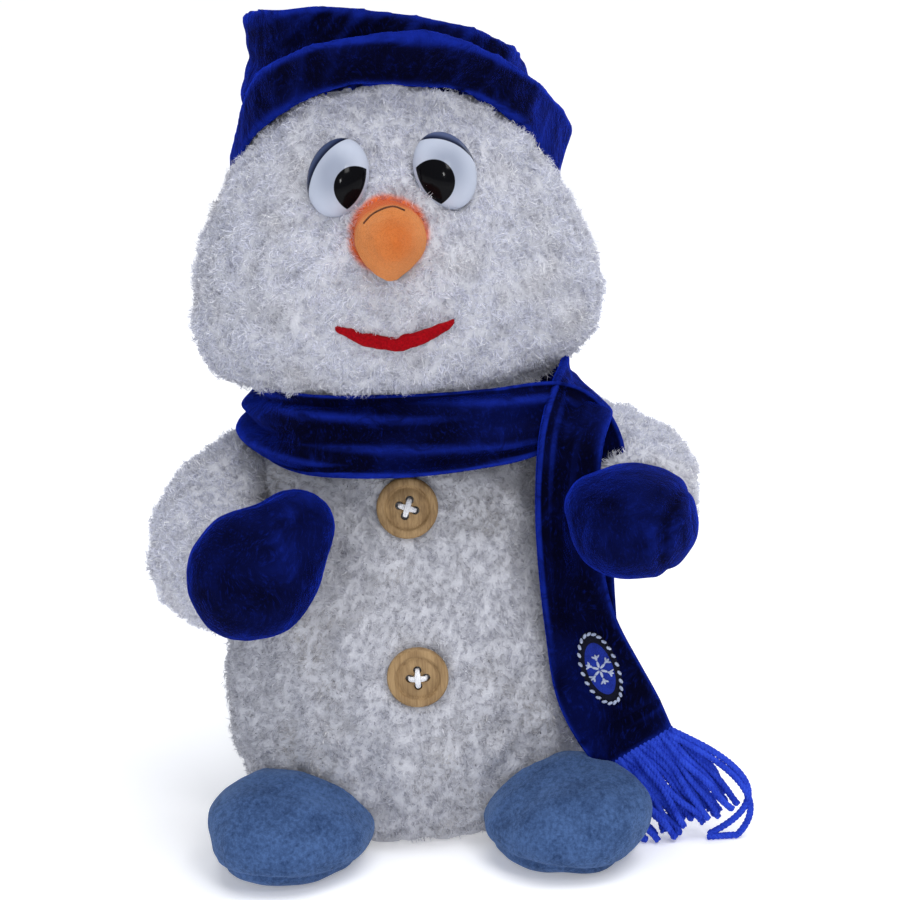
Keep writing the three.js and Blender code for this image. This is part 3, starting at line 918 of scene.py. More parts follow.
class Recipe(Graph):
    """A Geometry Nodes tree with named inputs, run once and turned into a plain mesh."""

    KINDS = {
        float: "NodeSocketFloat",
        int: "NodeSocketInt",
        bpy.types.Object: "NodeSocketObject",
        bpy.types.Collection: "NodeSocketCollection",
        bpy.types.Material: "NodeSocketMaterial",
    }

    def __init__(self, name: str, inputs: dict[str, type]) -> None:
        """Starts a tree.

        Args:
            name: The tree's name.
            inputs: The type of each named input.
        """
        super().__init__(bpy.data.node_groups.new(name, "GeometryNodeTree"))
        face = self.tree.interface
        face.new_socket(name="Geometry", in_out="INPUT", socket_type="NodeSocketGeometry")
        self.identifiers = {
            key: face.new_socket(name=key, in_out="INPUT", socket_type=self.KINDS[kind]).identifier
            for key, kind in inputs.items()
        }
        face.new_socket(name="Geometry", in_out="OUTPUT", socket_type="NodeSocketGeometry")
        self.given = self.add("NodeGroupInput").outputs

    def finish(self, geometry: bpy.types.NodeSocket) -> None:
        """Ends the tree in Realize Instances and Set Material."""
        real = self.add("GeometryNodeRealizeInstances", {"Geometry": geometry})
        dressed = self.add(
            "GeometryNodeSetMaterial",
            {"Geometry": real.outputs[0], "Material": self.given["Material"]},
        )
        self.add("NodeGroupOutput", {0: dressed.outputs[0]})

    def run(self, carrier: bpy.types.Object, name: str, **values: object) -> bpy.types.Object:
        """Runs the tree on a carrier and keeps the result as a new object.

        Args:
            carrier: The object whose geometry the tree takes.
            name: The new object's name.
            values: The named inputs; an underscore in a name stands for a space.

        Returns:
            The new object.
        """
        modifier = carrier.modifiers.new(self.tree.name, "NODES")
        modifier.node_group = self.tree
        for key, value in values.items():
            modifier[self.identifiers[key.replace("_", " ")]] = value
        mesh = evaluated(carrier)
        carrier.modifiers.remove(modifier)
        return place(name, mesh)


def pile_recipe() -> Recipe:
    """Tufts spread over a skin, leaning in drifts, kept off other pieces and off the floor.

    Returns:
        The tree.
    """
    recipe = Recipe(
        "grow_pile",
        {
            "Spacing": float, "Seed": int, "Tufts": bpy.types.Collection, "Kinds": int,
            "Clear Of": bpy.types.Object, "Clearance": float, "Floor": float, "Low": float,
            "High": float, "Lean": float, "Drift": float, "Locks": float,
            "Material": bpy.types.Material,
        },
    )
    given = recipe.given
    spread = recipe.add(
        "GeometryNodeDistributePointsOnFaces",
        {
            "Mesh": given["Geometry"], "Distance Min": given["Spacing"], "Density Max": 1.2e6,
            "Seed": given["Seed"],
        },
        distribute_method="POISSON",
    )
    position = recipe.add("GeometryNodeInputPosition").outputs[0]
    parts = recipe.add("ShaderNodeSeparateXYZ", {0: position})
    others = recipe.add("GeometryNodeObjectInfo", {"Object": given["Clear Of"]}, transform_space="RELATIVE")
    reach = recipe.add("GeometryNodeProximity", {0: others.outputs["Geometry"]}, target_element="FACES")
    near = recipe.math("LESS_THAN", reach.outputs["Distance"], given["Clearance"])
    floor = recipe.math("LESS_THAN", parts.outputs[2], given["Floor"])
    before = recipe.math("LESS_THAN", parts.outputs[1], given["Low"])
    behind = recipe.math("GREATER_THAN", parts.outputs[1], given["High"])
    off = near
    for more in (floor, before, behind):
        off = recipe.math("MAXIMUM", off, more)
    kept = recipe.add(
        "GeometryNodeDeleteGeometry",
        {"Geometry": spread.outputs["Points"], "Selection": recipe.math("GREATER_THAN", off, 0.5)},
        domain="POINT",
    )
    drift = recipe.add(
        "ShaderNodeTexNoise",
        {"Vector": position, "Scale": given["Drift"], "Detail": 2.0, "Roughness": 0.7},
    )
    sway = recipe.vector("SUBTRACT", drift.outputs["Color"], (0.5, 0.5, 0.5))
    sway = recipe.scaled(sway, given["Lean"])
    sway = recipe.vector("ADD", sway, (0.0, 0.0, -0.12))
    upright = recipe.vector("ADD", spread.outputs["Normal"], sway)
    turned = recipe.add("FunctionNodeAlignRotationToVector", {"Vector": upright}, axis="Z")
    chance = recipe.add(
        "FunctionNodeRandomValue", {2: 0.0, 3: 1.9, "Seed": 11}, data_type="FLOAT"
    )
    locks = recipe.add(
        "ShaderNodeTexNoise",
        {"Vector": recipe.vector("ADD", position, (0.3, 0.7, 0.1)), "Scale": given["Locks"], "Detail": 1.0},
    )
    heading = recipe.math("MULTIPLY", locks.outputs[0], TAU * 3)
    twist = recipe.add(
        "FunctionNodeAxisAngleToRotation",
        {"Axis": (0.0, 0.0, 1.0), "Angle": recipe.math("ADD", heading, chance.outputs[1])},
    )
    turned = recipe.add(
        "FunctionNodeRotateRotation",
        {"Rotation": turned.outputs[0], "Rotate By": twist.outputs[0]},
        rotation_space="LOCAL",
    )
    kind = recipe.add(
        "FunctionNodeRandomValue",
        {4: 0, 5: recipe.math("SUBTRACT", given["Kinds"], 1), "Seed": 12},
        data_type="INT",
    )
    size = recipe.add("FunctionNodeRandomValue", {2: 0.72, 3: 1.2, "Seed": 13}, data_type="FLOAT")
    tufts = recipe.add(
        "GeometryNodeCollectionInfo",
        {"Collection": given["Tufts"], "Separate Children": True, "Reset Children": True},
    )
    planted = recipe.add(
        "GeometryNodeInstanceOnPoints",
        {
            "Points": kept.outputs[0], "Instance": tufts.outputs[0], "Pick Instance": True,
            "Instance Index": kind.outputs[2], "Rotation": turned.outputs[0],
            "Scale": size.outputs[1],
        },
    )
    recipe.finish(planted.outputs[0])
    return recipe


def tube_recipe() -> Recipe:
    """A round thread along every edge path of the carrier.

    Returns:
        The tree.
    """
    recipe = Recipe("spin_thread", {"Radius": float, "Sides": int, "Material": bpy.types.Material})
    given = recipe.given
    line = recipe.add("GeometryNodeMeshToCurve", {"Mesh": given["Geometry"]})
    circle = recipe.add(
        "GeometryNodeCurvePrimitiveCircle",
        {"Resolution": given["Sides"], "Radius": given["Radius"]},
        mode="RADIUS",
    )
    tube = recipe.add(
        "GeometryNodeCurveToMesh",
        {"Curve": line.outputs[0], "Profile Curve": circle.outputs[0], "Fill Caps": True},
    )
    recipe.finish(tube.outputs[0])
    return recipe


@dataclass
class Twist:
    """Yarn of a few plies wound round each other."""

    recipe: Recipe
    plies: int = 3
    sides: int = 6
    ply_share: float = 0.56

    def spin(
        self, name: str, paths: Sequence[np.ndarray], radius: float, pitch: float,
        material: bpy.types.Material,
    ) -> bpy.types.Object:
        """Spins yarn along several paths.

        Args:
            name: The new piece's name.
            paths: The middle line of each yarn.
            radius: The yarn's radius.
            pitch: The length of one full turn.
            material: The finish.

        Returns:
            The new piece.
        """
        lines = [line for path in paths for line in self.wind(path, radius * (1 - self.ply_share), pitch)]
        points, edges, base = np.concatenate(lines), [], 0
        for line in lines:
            edges += [(base + k, base + k + 1) for k in range(len(line) - 1)]
            base += len(line)
        mesh = bpy.data.meshes.new(f"{name}_paths")
        mesh.from_pydata([tuple(p) for p in points], edges, [])
        carrier = place(f"{name}_paths", mesh)
        piece = self.recipe.run(
            carrier, name, Radius=radius * self.ply_share, Sides=self.sides, Material=material
        )
        discard(carrier)
        return piece

    def wind(self, path: np.ndarray, offset: float, pitch: float) -> list[np.ndarray]:
        """The winding line of each ply round a path."""
        along = unit(np.gradient(path, axis=0))
        travelled = travel(path)
        side = np.cross(along[0], (0.3, 1.0, 0.2))
        sides = []
        for way in along:
            side = side - way * (side @ way)
            side = side / max(np.linalg.norm(side), 1e-9)
            sides.append(side)
        first = np.array(sides)
        second = np.cross(along, first)
        lines = []
        for ply in range(self.plies):
            turn = (travelled / pitch * TAU + ply / self.plies * TAU)[:, None]
            lines.append(path + (first * np.cos(turn) + second * np.sin(turn)) * offset)
        return lines


def stitch_recipe() -> Recipe:
    """One stitch on each of the carrier's points, turned by its "along" and "out" attributes.

    Returns:
        The tree.
    """
    recipe = Recipe("sew_stitches", {"Stitch": bpy.types.Object, "Material": bpy.types.Material})
    given = recipe.given
    points = recipe.add("GeometryNodeMeshToPoints", {"Mesh": given["Geometry"]})
    fields = {
        key: recipe.add("GeometryNodeInputNamedAttribute", {"Name": key}, data_type="FLOAT_VECTOR").outputs[0]
        for key in ("along", "out", "size")
    }
    turned = recipe.add("FunctionNodeAlignRotationToVector", {"Vector": fields["out"]}, axis="Z")
    turned = recipe.add(
        "FunctionNodeAlignRotationToVector",
        {"Rotation": turned.outputs[0], "Vector": fields["along"]},
        axis="X",
        pivot_axis="Z",
    )
    source = recipe.add("GeometryNodeObjectInfo", {"Object": given["Stitch"], "As Instance": True})
    sewn = recipe.add(
        "GeometryNodeInstanceOnPoints",
        {
            "Points": points.outputs[0], "Instance": source.outputs["Geometry"],
            "Rotation": turned.outputs[0], "Scale": fields["size"],
        },
    )
    recipe.finish(sewn.outputs[0])
    return recipe


# ---- Plush --------------------------------------------------------------------------------


@dataclass
class Tufts:
    """A few kinds of tuft, each a matted lock of flat fibres crushed over to one side."""

    kinds: int = 8
    fibres: int = 11
    length: float = 0.0041
    width: float = 0.00029
    spread: float = 0.0009
    fan: float = 0.55
    root: float = 0.0006
    seed: int = 5

    def build(self) -> bpy.types.Collection:
        """Builds the tufts in a collection that isn't part of the scene.

        Returns:
            The collection.
        """
        group = bpy.data.collections.new("tufts")
        for kind in range(self.kinds):
            group.objects.link(self.tuft(kind))
        return group

    def tuft(self, kind: int) -> bpy.types.Object:
        """One kind of tuft, standing on the origin along Z and crushed towards X."""
        chance = np.random.default_rng(self.seed + kind)
        points, faces, layer = [], [], []
        for _ in range(self.fibres):
            way = chance.uniform(0, TAU)
            where = self.spread * math.sqrt(chance.uniform())
            start = np.array([where * math.cos(way), where * math.sin(way), -self.root])
            heading = chance.normal(0, self.fan)
            first = self.direction(heading, chance.uniform(0.1, 0.9))
            second = self.direction(heading + chance.normal(0, 1.1), chance.uniform(0.8, 2.1))
            reach = self.length * chance.uniform(0.6, 1.1)
            bend = chance.uniform(0.4, 0.6)
            middle = start + first * reach * bend
            end = middle + second * reach * (1 - bend)
            across = np.array([-math.sin(heading), math.cos(heading), 0.0])
            aside = unit(across + chance.normal(0, 0.45, 3)) * self.width / 2
            base = len(points)
            points += [start - aside, start + aside, middle + aside, middle - aside, end]
            faces += [(base, base + 1, base + 2, base + 3), (base + 3, base + 2, base + 4)]
            shade = chance.uniform()
            layer += [(shade, 0.0), (shade, 0.0), (shade, 0.6), (shade, 0.6)]
            layer += [(shade, 0.6), (shade, 0.6), (shade, 1.0)]
        mesh = bpy.data.meshes.new(f"tuft_{kind}")
        mesh.from_pydata([tuple(p) for p in points], [], faces)
        mesh.uv_layers.new(name="fibre").data.foreach_set("uv", np.array(layer, np.float32).ravel())
        return bpy.data.objects.new(f"tuft_{kind}", mesh)

    @staticmethod
    def direction(heading: float, tilt: float) -> np.ndarray:
        """A unit direction tilted away from Z towards a heading."""
        aside = math.sin(tilt)
        return np.array([aside * math.cos(heading), aside * math.sin(heading), math.cos(tilt)])


@dataclass
class Pile:
    """Grows plush pile over a skin, in one piece or several from front to back."""

    tufts: bpy.types.Collection
    recipe: Recipe
    finish: bpy.types.Material
    clear_of: bpy.types.Object
    clearance: float = 0.0003
    floor: float = 0.003
    lean: float = 2.0
    drift: float = 190.0
    locks: float = 190.0

    def grow(self, skin: bpy.types.Object, name: str, spacing: float, cuts: Sequence[float] = ()) -> None:
        """Grows the pile.

        Args:
            skin: The skin it grows from.
            name: The start of the new pieces' names.
            spacing: The least distance between two tufts.
            cuts: Heights along Y where one piece ends and the next begins.
        """
        bounds = [-1.0, *cuts, 1.0]
        names = [name] if not cuts else [f"{name}_{i + 1}" for i in range(len(bounds) - 1)]
        for label, low, high in zip(names, bounds, bounds[1:]):
            piece = self.recipe.run(
                skin, label, Spacing=spacing, Seed=3, Tufts=self.tufts,
                Kinds=len(self.tufts.objects), Clear_Of=self.clear_of, Clearance=self.clearance,
                Floor=self.floor, Low=low, High=high, Lean=self.lean, Drift=self.drift,
                Locks=self.locks, Material=self.finish,
            )
            present(piece, Slot.PLUSH)


@dataclass
class StuffedBody:
    """The plush bags: head, torso and arms, each a soft skin for pile to grow on."""

    backing: bpy.types.Material
    voxel: float = 0.0026
    rounds: int = 5
    inset: float = 0.0007
    lumps: tuple[tuple[float, float], ...] = ((0.03, 0.0012), (0.012, 0.0022), (0.0066, 0.0019))
    fills: dict[str, float] = field(
        default_factory=lambda: {"head": 0.85, "torso": 0.85, "arm_right": 0.75, "arm_left": 0.75}
    )

    def build(self) -> dict[str, bpy.types.Object]:
        """Builds the four skins.

        Returns:
            The skins by CAD node name.
        """
        skins = {}
        for number, (node, fill) in enumerate(self.fills.items()):
            skin = soft_copy(node, f"{node}_skin", self.voxel, self.rounds)
            reshape(skin, points_of(skin.data) - normals_of(skin.data) * self.inset)
            for size, depth in self.lumps:
                rumple(skin, size, depth, 3.0 * number)
            coat(skin, self.backing)
            present(skin, Slot.PLUSH, node)
            skins[node] = skin
        return skins


# ---- Velvet and fleece --------------------------------------------------------------------


@dataclass
class Mitten:
    """A stuffed velvet mitten with a seam round its rim."""

    side: Side
    velvet: bpy.types.Material
    voxel: float = 0.0012
    rounds: int = 16
    seam_width: float = 0.0013
    seam_depth: float = 0.0005
    seam_plane: tuple[float, float, float] = (0.93, -0.32, -0.18)
    seam_offset: float = 0.0145
    hull_share: tuple[float, float] = (0.1, 0.85)
    lump: tuple[float, float] = (0.011, 0.0008)
    full_crest: float = 290.0
    fill: float = 0.8

    def build(self) -> bpy.types.Object:
        """Builds the mitten.

        Returns:
            The finished piece.
        """
        node = f"mitten_{self.side.word}"
        piece = soft_copy(node, f"{node}_velvet", self.voxel, self.rounds)
        self.fill_out(piece)
        points, normals = skin_of(piece)
        centre = points.mean(0)
        _, axes = np.linalg.eigh(np.cov((points - centre).T))
        flat = (points - centre) @ axes[:, 0]
        if self.side is Side.LEFT:
            flat = (points - centre) @ unit(np.array(self.seam_plane)) - self.seam_offset
        groove = np.exp(-((flat / self.seam_width) ** 2)) * self.seam_depth
        beside = np.exp(-(((np.abs(flat) - 2.2 * self.seam_width) / self.seam_width) ** 2))
        reshape(piece, points + normals * (beside * self.seam_depth * 0.5 - groove)[:, None])
        rumple(piece, *self.lump, 7.0 + self.side.value)
        coat(piece, self.velvet)
        mark_crests(piece, 12, self.full_crest)
        present(piece, Slot.VELVET, node)
        return piece

    def fill_out(self, piece: bpy.types.Object) -> None:
        """Draws the skin towards its hull, most on the side away from the thumb's notch."""
        points = points_of(piece.data)
        tool = bmesh.new()
        for point in points[::3]:
            tool.verts.new(point)
        bmesh.ops.convex_hull(tool, input=tool.verts)
        hull = poured(tool, "hull")
        low, high = points.min(0), points.max(0)
        across = (points[:, 0] - low[0]) / (high[0] - low[0])
        inner = np.clip(0.5 - self.side.value * (across - 0.5) * 2, 0, 1)
        share = self.hull_share[0] + (self.hull_share[1] - self.hull_share[0]) * inner
        near = np.array([tuple(hull.closest_point_on_mesh(Vector(p))[1]) for p in points])
        reshape(piece, points + (near - points) * share[:, None])
        discard(hull)


@dataclass
class Foot:
    """A stuffed fleece slipper with a sole seam and a few soft creases."""

    side: Side
    fleece: bpy.types.Material
    voxel: float = 0.0014
    rounds: int = 8
    seam_height: float = 0.0056
    seam_width: float = 0.0012
    seam_depth: float = 0.0016
    seam_wave: float = 0.0018
    sole: float = 0.0015
    lump: tuple[float, float] = (0.014, 0.0014)
    fill: float = 0.8

    def build(self) -> bpy.types.Object:
        """Builds the foot.

        Returns:
            The finished piece.
        """
        node = f"foot_{self.side.word}"
        piece = soft_copy(node, f"{node}_fleece", self.voxel, self.rounds)
        points, normals = skin_of(piece)
        low = points.min(0)
        seam = points[:, 2] - self.seam_height - self.seam_wave * np.sin(points[:, 0] / 0.013)
        groove = np.exp(-((seam / self.seam_width) ** 2)) * self.seam_depth
        groove = groove * (points[:, 2] > low[2] + self.sole)
        reshape(piece, points - normals * groove[:, None])
        rumple(piece, *self.lump, 20.0 + self.side.value)
        points = points_of(piece.data)
        points[:, 2] = np.maximum(points[:, 2], 0.0)
        reshape(piece, points)
        coat(piece, self.fleece)
        present(piece, Slot.FLEECE, node)
        return piece


@dataclass
class Hat:
    """The hat: a soft crown with a dented flat top, and a turned-up cuff round the face."""

    velvet: bpy.types.Material
    voxel: float = 0.0014
    rounds: int = 5
    crease: float = 0.02
    crease_depth: float = 0.0028
    crease_way: tuple[float, float, float] = (0.75, 0.9, 0.3)
    flare: float = 0.007
    crown_lump: tuple[float, float, float] = (0.02, 0.0017, 31.0)
    brim_voxel: float = 0.0011
    brim_rounds: int = 4
    brim_lumps: tuple[tuple[float, float, float], ...] = ((0.026, 0.0017, 41.0), (0.009, 0.0005, 45.0))
    cuff: tuple[float, float] = (0.0195, 0.33)

    def build(self) -> list[bpy.types.Object]:
        """Builds the crown and the cuff.

        Returns:
            The finished pieces.
        """
        crown = soft_copy("hat_crown", "hat_crown_velvet", self.voxel, self.rounds)
        points, normals = skin_of(crown)
        low, high = points.min(0), points.max(0)
        rise = np.clip((points[:, 2] - low[2]) / (high[2] - low[2]), 0, 1)
        across, down, back = self.crease_way
        slant = points[:, 0] * across - points[:, 2] * down + points[:, 1] * back
        folds = np.sin(slant / self.crease * TAU + 1.3 * np.sin(points[:, 0] / 0.02)) ** 3
        walls = 1 - np.abs(normals[:, 2]) ** 2
        depth = self.crease_depth * folds * walls * np.clip(rise * 2 - 0.5, 0, 1) * 0.45
        points = points + normals * depth[:, None]
        ahead = np.clip(-normals[:, 1], 0, 1)
        points[:, 1] -= self.flare * np.clip(1 - rise / 0.35, 0, 1) * ahead
        reshape(crown, points)
        rumple(crown, *self.crown_lump)
        brim = soft_copy("hat_brim", "hat_brim_velvet", self.brim_voxel, self.brim_rounds)
        for lump in self.brim_lumps:
            rumple(brim, *lump)
        for piece in (crown, brim):
            coat(piece, self.velvet)
            mark_crests(piece, 5)
        present(crown, Slot.VELVET, "hat_crown")
        present(brim, Slot.VELVET, "hat_brim")
        return [crown, brim]


@dataclass
class Scarf:
    """One strip of velvet, once round the neck, its short end under the long one.

    Each station is a place, the direction across the strip, its half width and its half thickness.
    """

    velvet: bpy.types.Material
    stations: Sequence[Sequence[float]] = (
        (54, -35, 58, 0.93, -0.36, 0.0, 12, 1.0),
        (54.5, -36.5, 74, 0.93, -0.36, 0.0, 12, 1.0),
        (56, -38.5, 96, 0.92, -0.4, 0.0, 11, 1.2),
        (59.5, -40, 118, 0.9, -0.43, 0.05, 11, 1.3),
        (60.5, -38, 133, 0.85, -0.38, 0.35, 11, 1.5),
        (51, -39.5, 143, 0.45, 0.1, 0.89, 11, 1.7),
        (30, -46, 142, 0.1, 0.3, 0.95, 12.5, 1.7),
        (0, -49.5, 141.5, 0.0, 0.34, 0.94, 13.5, 1.7),
        (-29, -43.5, 142.5, -0.05, 0.3, 0.95, 13, 1.7),
        (-46, -21.5, 144, 0.25, 0.12, 0.96, 12, 1.7),
        (-47.5, 4, 145.5, 0.25, 0.0, 0.97, 10, 1.7),
        (-34, 31, 148, 0.2, -0.2, 0.96, 11, 1.7),
        (0, 42.5, 149, 0.0, -0.25, 0.97, 12, 1.7),
        (34, 31, 149, -0.2, -0.2, 0.96, 11, 1.7),
        (49, 6, 149, -0.3, 0.05, 0.95, 10.5, 1.7),
        (57.5, -18, 149, -0.5, 0.1, 0.86, 11, 1.7),
        (57.5, -38, 146.5, -0.85, 0.15, 0.5, 11, 1.7),
        (53.5, -48, 135, -1.0, 0.12, 0.05, 10.5, 1.5),
        (51.5, -48, 116, -0.95, 0.3, 0.0, 10.5, 1.4),
        (51.8, -47, 96, -0.93, 0.36, 0.0, 11, 1.3),
        (53.8, -46.5, 76, -0.95, 0.28, -0.05, 12.3, 1.2),
        (58.5, -46.5, 56, -0.95, 0.14, -0.25, 15, 1.2),
        (64.5, -46.5, 42, -0.9, 0.04, -0.42, 15.2, 1.2),
        (70.2, -46.5, 31.5, -0.83, 0.0, -0.55, 13.6, 1.2),
    )
    steps: int = 420
    around: int = 64
    flat: tuple[float, float] = (0.033, 0.54)
    fold_depth: float = 3.2
    full_crest: float = 320.0
    hem: float = 0.011
    pinch_depth: float = 0.0007
    pinch_width: float = 0.0009
    end_round: float = 0.0016
    squareness: float = 0.72
    neck: tuple[float, float] = (0.44, 0.3)

    def frame_at(self) -> tuple[np.ndarray, np.ndarray, np.ndarray, np.ndarray]:
        """The strip's centre line, its directions across and out, and its half sizes.

        Returns:
            Four arrays with one row for each step.
        """
        rows = smooth_path(self.stations, self.steps)
        centre = rows[:, :3] / 1000
        along = unit(np.gradient(centre, axis=0))
        across = rows[:, 3:6]
        across = unit(across - along * (across * along).sum(1, keepdims=True))
        out = np.cross(across, along)
        return centre, across, out, rows[:, 6:8] / 1000

    def surface(self, step: float, u: float, lift: float = 0.0) -> tuple[np.ndarray, np.ndarray, np.ndarray]:
        """A point on the strip's outer face.

        Args:
            step: Where along the strip, from 0 to 1.
            u: Where across it, from -1 to 1.
            lift: How far above the face.

        Returns:
            The point, the direction across and the direction out.
        """
        centre, across, out, sizes = self.lines
        i = step * (self.steps - 1)
        k = min(int(i), self.steps - 2)
        f = i - k
        c = centre[k] * (1 - f) + centre[k + 1] * f
        a = unit(across[k] * (1 - f) + across[k + 1] * f)
        o = unit(out[k] * (1 - f) + out[k + 1] * f)
        size = sizes[k] * (1 - f) + sizes[k + 1] * f
        height = self.wave(np.array([u]), step)[0] + size[1] * self.edge(np.array([u]))[0]
        return c + a * u * size[0] + o * (height + lift), a, o

    @staticmethod
    def edge(u: np.ndarray) -> np.ndarray:
        """The share of the thickness left at a place across the strip."""
        return np.sqrt(np.clip(1 - np.abs(u) ** 5, 0, 1))

    def wave(self, u: np.ndarray, t: float) -> np.ndarray:
        """How far the strip's long folds lift it, deepest where it is gathered round the neck."""
        middle, half = self.neck
        gathered = np.clip(1 - abs(t - middle) / half, 0, 1) ** 0.5
        drop = np.clip((t - 0.7) / 0.05, 0, 1) * np.clip((0.95 - t) / 0.1, 0, 1)
        folds = 1.9 * np.abs(np.sin(u * 3.9 + 0.55 * math.sin(t * 19) + 0.9 * t)) ** 0.8 - 1.1
        folds = folds * (0.85 + 0.25 * math.sin(t * 33 + 1))
        folds = folds + 0.35 * np.sin(u * 9.5 - t * 26 + 1.5 * math.sin(t * 13))
        gutter = 0.5 - 1.3 * np.exp(-(((u - 0.28 - 0.1 * math.sin(t * 22)) / 0.22) ** 2))
        gutter = gutter + 0.6 * np.exp(-(((u - 0.86) / 0.12) ** 2))
        ripple = 0.22 * np.sin(u * 4 + t * 55) * (1 - 0.6 * gathered)
        return (gathered * folds + drop * gutter * 0.6 + ripple * 0.7) * self.fold_depth / 1000

    def build(self) -> bpy.types.Object:
        """Builds the strip.

        Returns:
            The strip.
        """
        self.lines = self.frame_at()
        centre, across, out, sizes = self.lines
        travelled = travel(centre)
        angles = (np.arange(self.around) + 0.5) / self.around * TAU
        u = np.sign(np.cos(angles)) * np.abs(np.cos(angles)) ** self.squareness
        side = np.sign(np.sin(angles))
        rings = []
        for i in range(self.steps):
            t = i / (self.steps - 1)
            thick = sizes[i, 1] * self.edge(u) * side
            from_end = min(travelled[i], travelled[-1] - travelled[i])
            pinch = self.pinch_depth * math.exp(-(((from_end - self.hem) / self.pinch_width) ** 2))
            close = math.sqrt(max(1 - max(1 - from_end / self.end_round, 0) ** 2, 0.02))
            height = self.wave(u, t) + thick * close - pinch * side
            width = sizes[i, 0] * (1 - 0.02 * (1 - close))
            rings.append(centre[i] + np.outer(u * width, across[i]) + np.outer(height, out[i]))
        points = np.concatenate(rings)
        mesh = mesh_of("scarf_velvet", points, ring_faces(self.steps, self.around))
        piece = place("scarf_velvet", mesh, self.velvet)
        mark_crests(piece, 2, self.full_crest)
        return present(piece, Slot.VELVET, "scarf")


@dataclass
class Fringe:
    """Twisted yarn strands along one end of the scarf."""

    name: str
    node: str
    strands: int
    yarn: bpy.types.Material
    twist: Twist
    scarf: Scarf
    end: int
    reach: float
    heading: tuple[float, float, float]
    fan: float
    stray: int = 0
    radius: float = 0.00125
    pitch: float = 0.0044
    inset: float = 0.93
    sunk: float = 0.0016
    first_row: float = 0.0011
    row_gap: float = 0.0013
    seed: int = 4

    def build(self) -> bpy.types.Object:
        """Builds the fringe.

        Returns:
            The finished piece.
        """
        chance = np.random.default_rng(self.seed)
        lines: list[np.ndarray] = []
        step = 1.0 if self.end else 0.0
        heading = unit(np.array(self.heading))
        for row, count in enumerate((self.strands, self.strands - 1)):
            for i in range(count):
                u = -self.inset + 2 * self.inset * (i + 0.5 * row) / (count - 1 + 0.5 * row)
                start, across, out = self.scarf.surface(step, u)
                start = start - out * (self.first_row + self.row_gap * row) - heading * self.sunk
                aside = across * u * self.fan + across * chance.normal(0, 0.06)
                way = unit(heading + aside + out * chance.normal(0.04 - 0.08 * row, 0.05))
                length = self.reach * chance.uniform(0.86, 1.06)
                lines.append(self.strand(chance, start, way, across, out, length))
        for i in range(self.stray):
            lines.append(self.curl(chance, step, i, heading))
        for line in lines:
            line[:, 2] = np.maximum(line[:, 2], self.radius)
        piece = self.twist.spin(self.name, lines, self.radius, self.pitch, self.yarn)
        return present(piece, Slot.YARN, self.node)

    @staticmethod
    def strand(
        chance: np.random.Generator, start: np.ndarray, way: np.ndarray,
        across: np.ndarray, out: np.ndarray, length: float,
    ) -> np.ndarray:
        """One hanging strand's line, with a slight bend of its own."""
        t = np.linspace(0, 1, 56)[:, None]
        bow = across * chance.normal(0, 0.0014) + out * chance.normal(0, 0.0008)
        sag = np.array([0, 0, -1.0]) * length * 0.1
        wobble = across * np.sin(t * TAU * chance.uniform(1.0, 2.2) + chance.uniform(0, 6)) * 0.0008
        return start + way * t * length + bow * np.sin(t * math.pi) + sag * t**2 + wobble * t

    def curl(self, chance: np.random.Generator, step: float, number: int, heading: np.ndarray) -> np.ndarray:
        """A loose strand that springs out and curls back down."""
        u = -0.95 + 0.12 * number
        start, across, out = self.scarf.surface(step, u)
        t = np.linspace(0, 1, 80)[:, None]
        outward = -across
        swing = self.reach * (1.02 + 0.12 * number)
        path = heading * np.sin(t * 1.9) * swing + outward * (np.sin(t * 2.6) * 0.011 - t**2 * 0.004)
        down = np.array([0, 0, -1.0]) * (t**2.2) * swing * (0.42 + 0.05 * number)
        back = np.array([-1.0, 0, 0]) * (t**3) * swing * 0.3
        return start + path + down + back


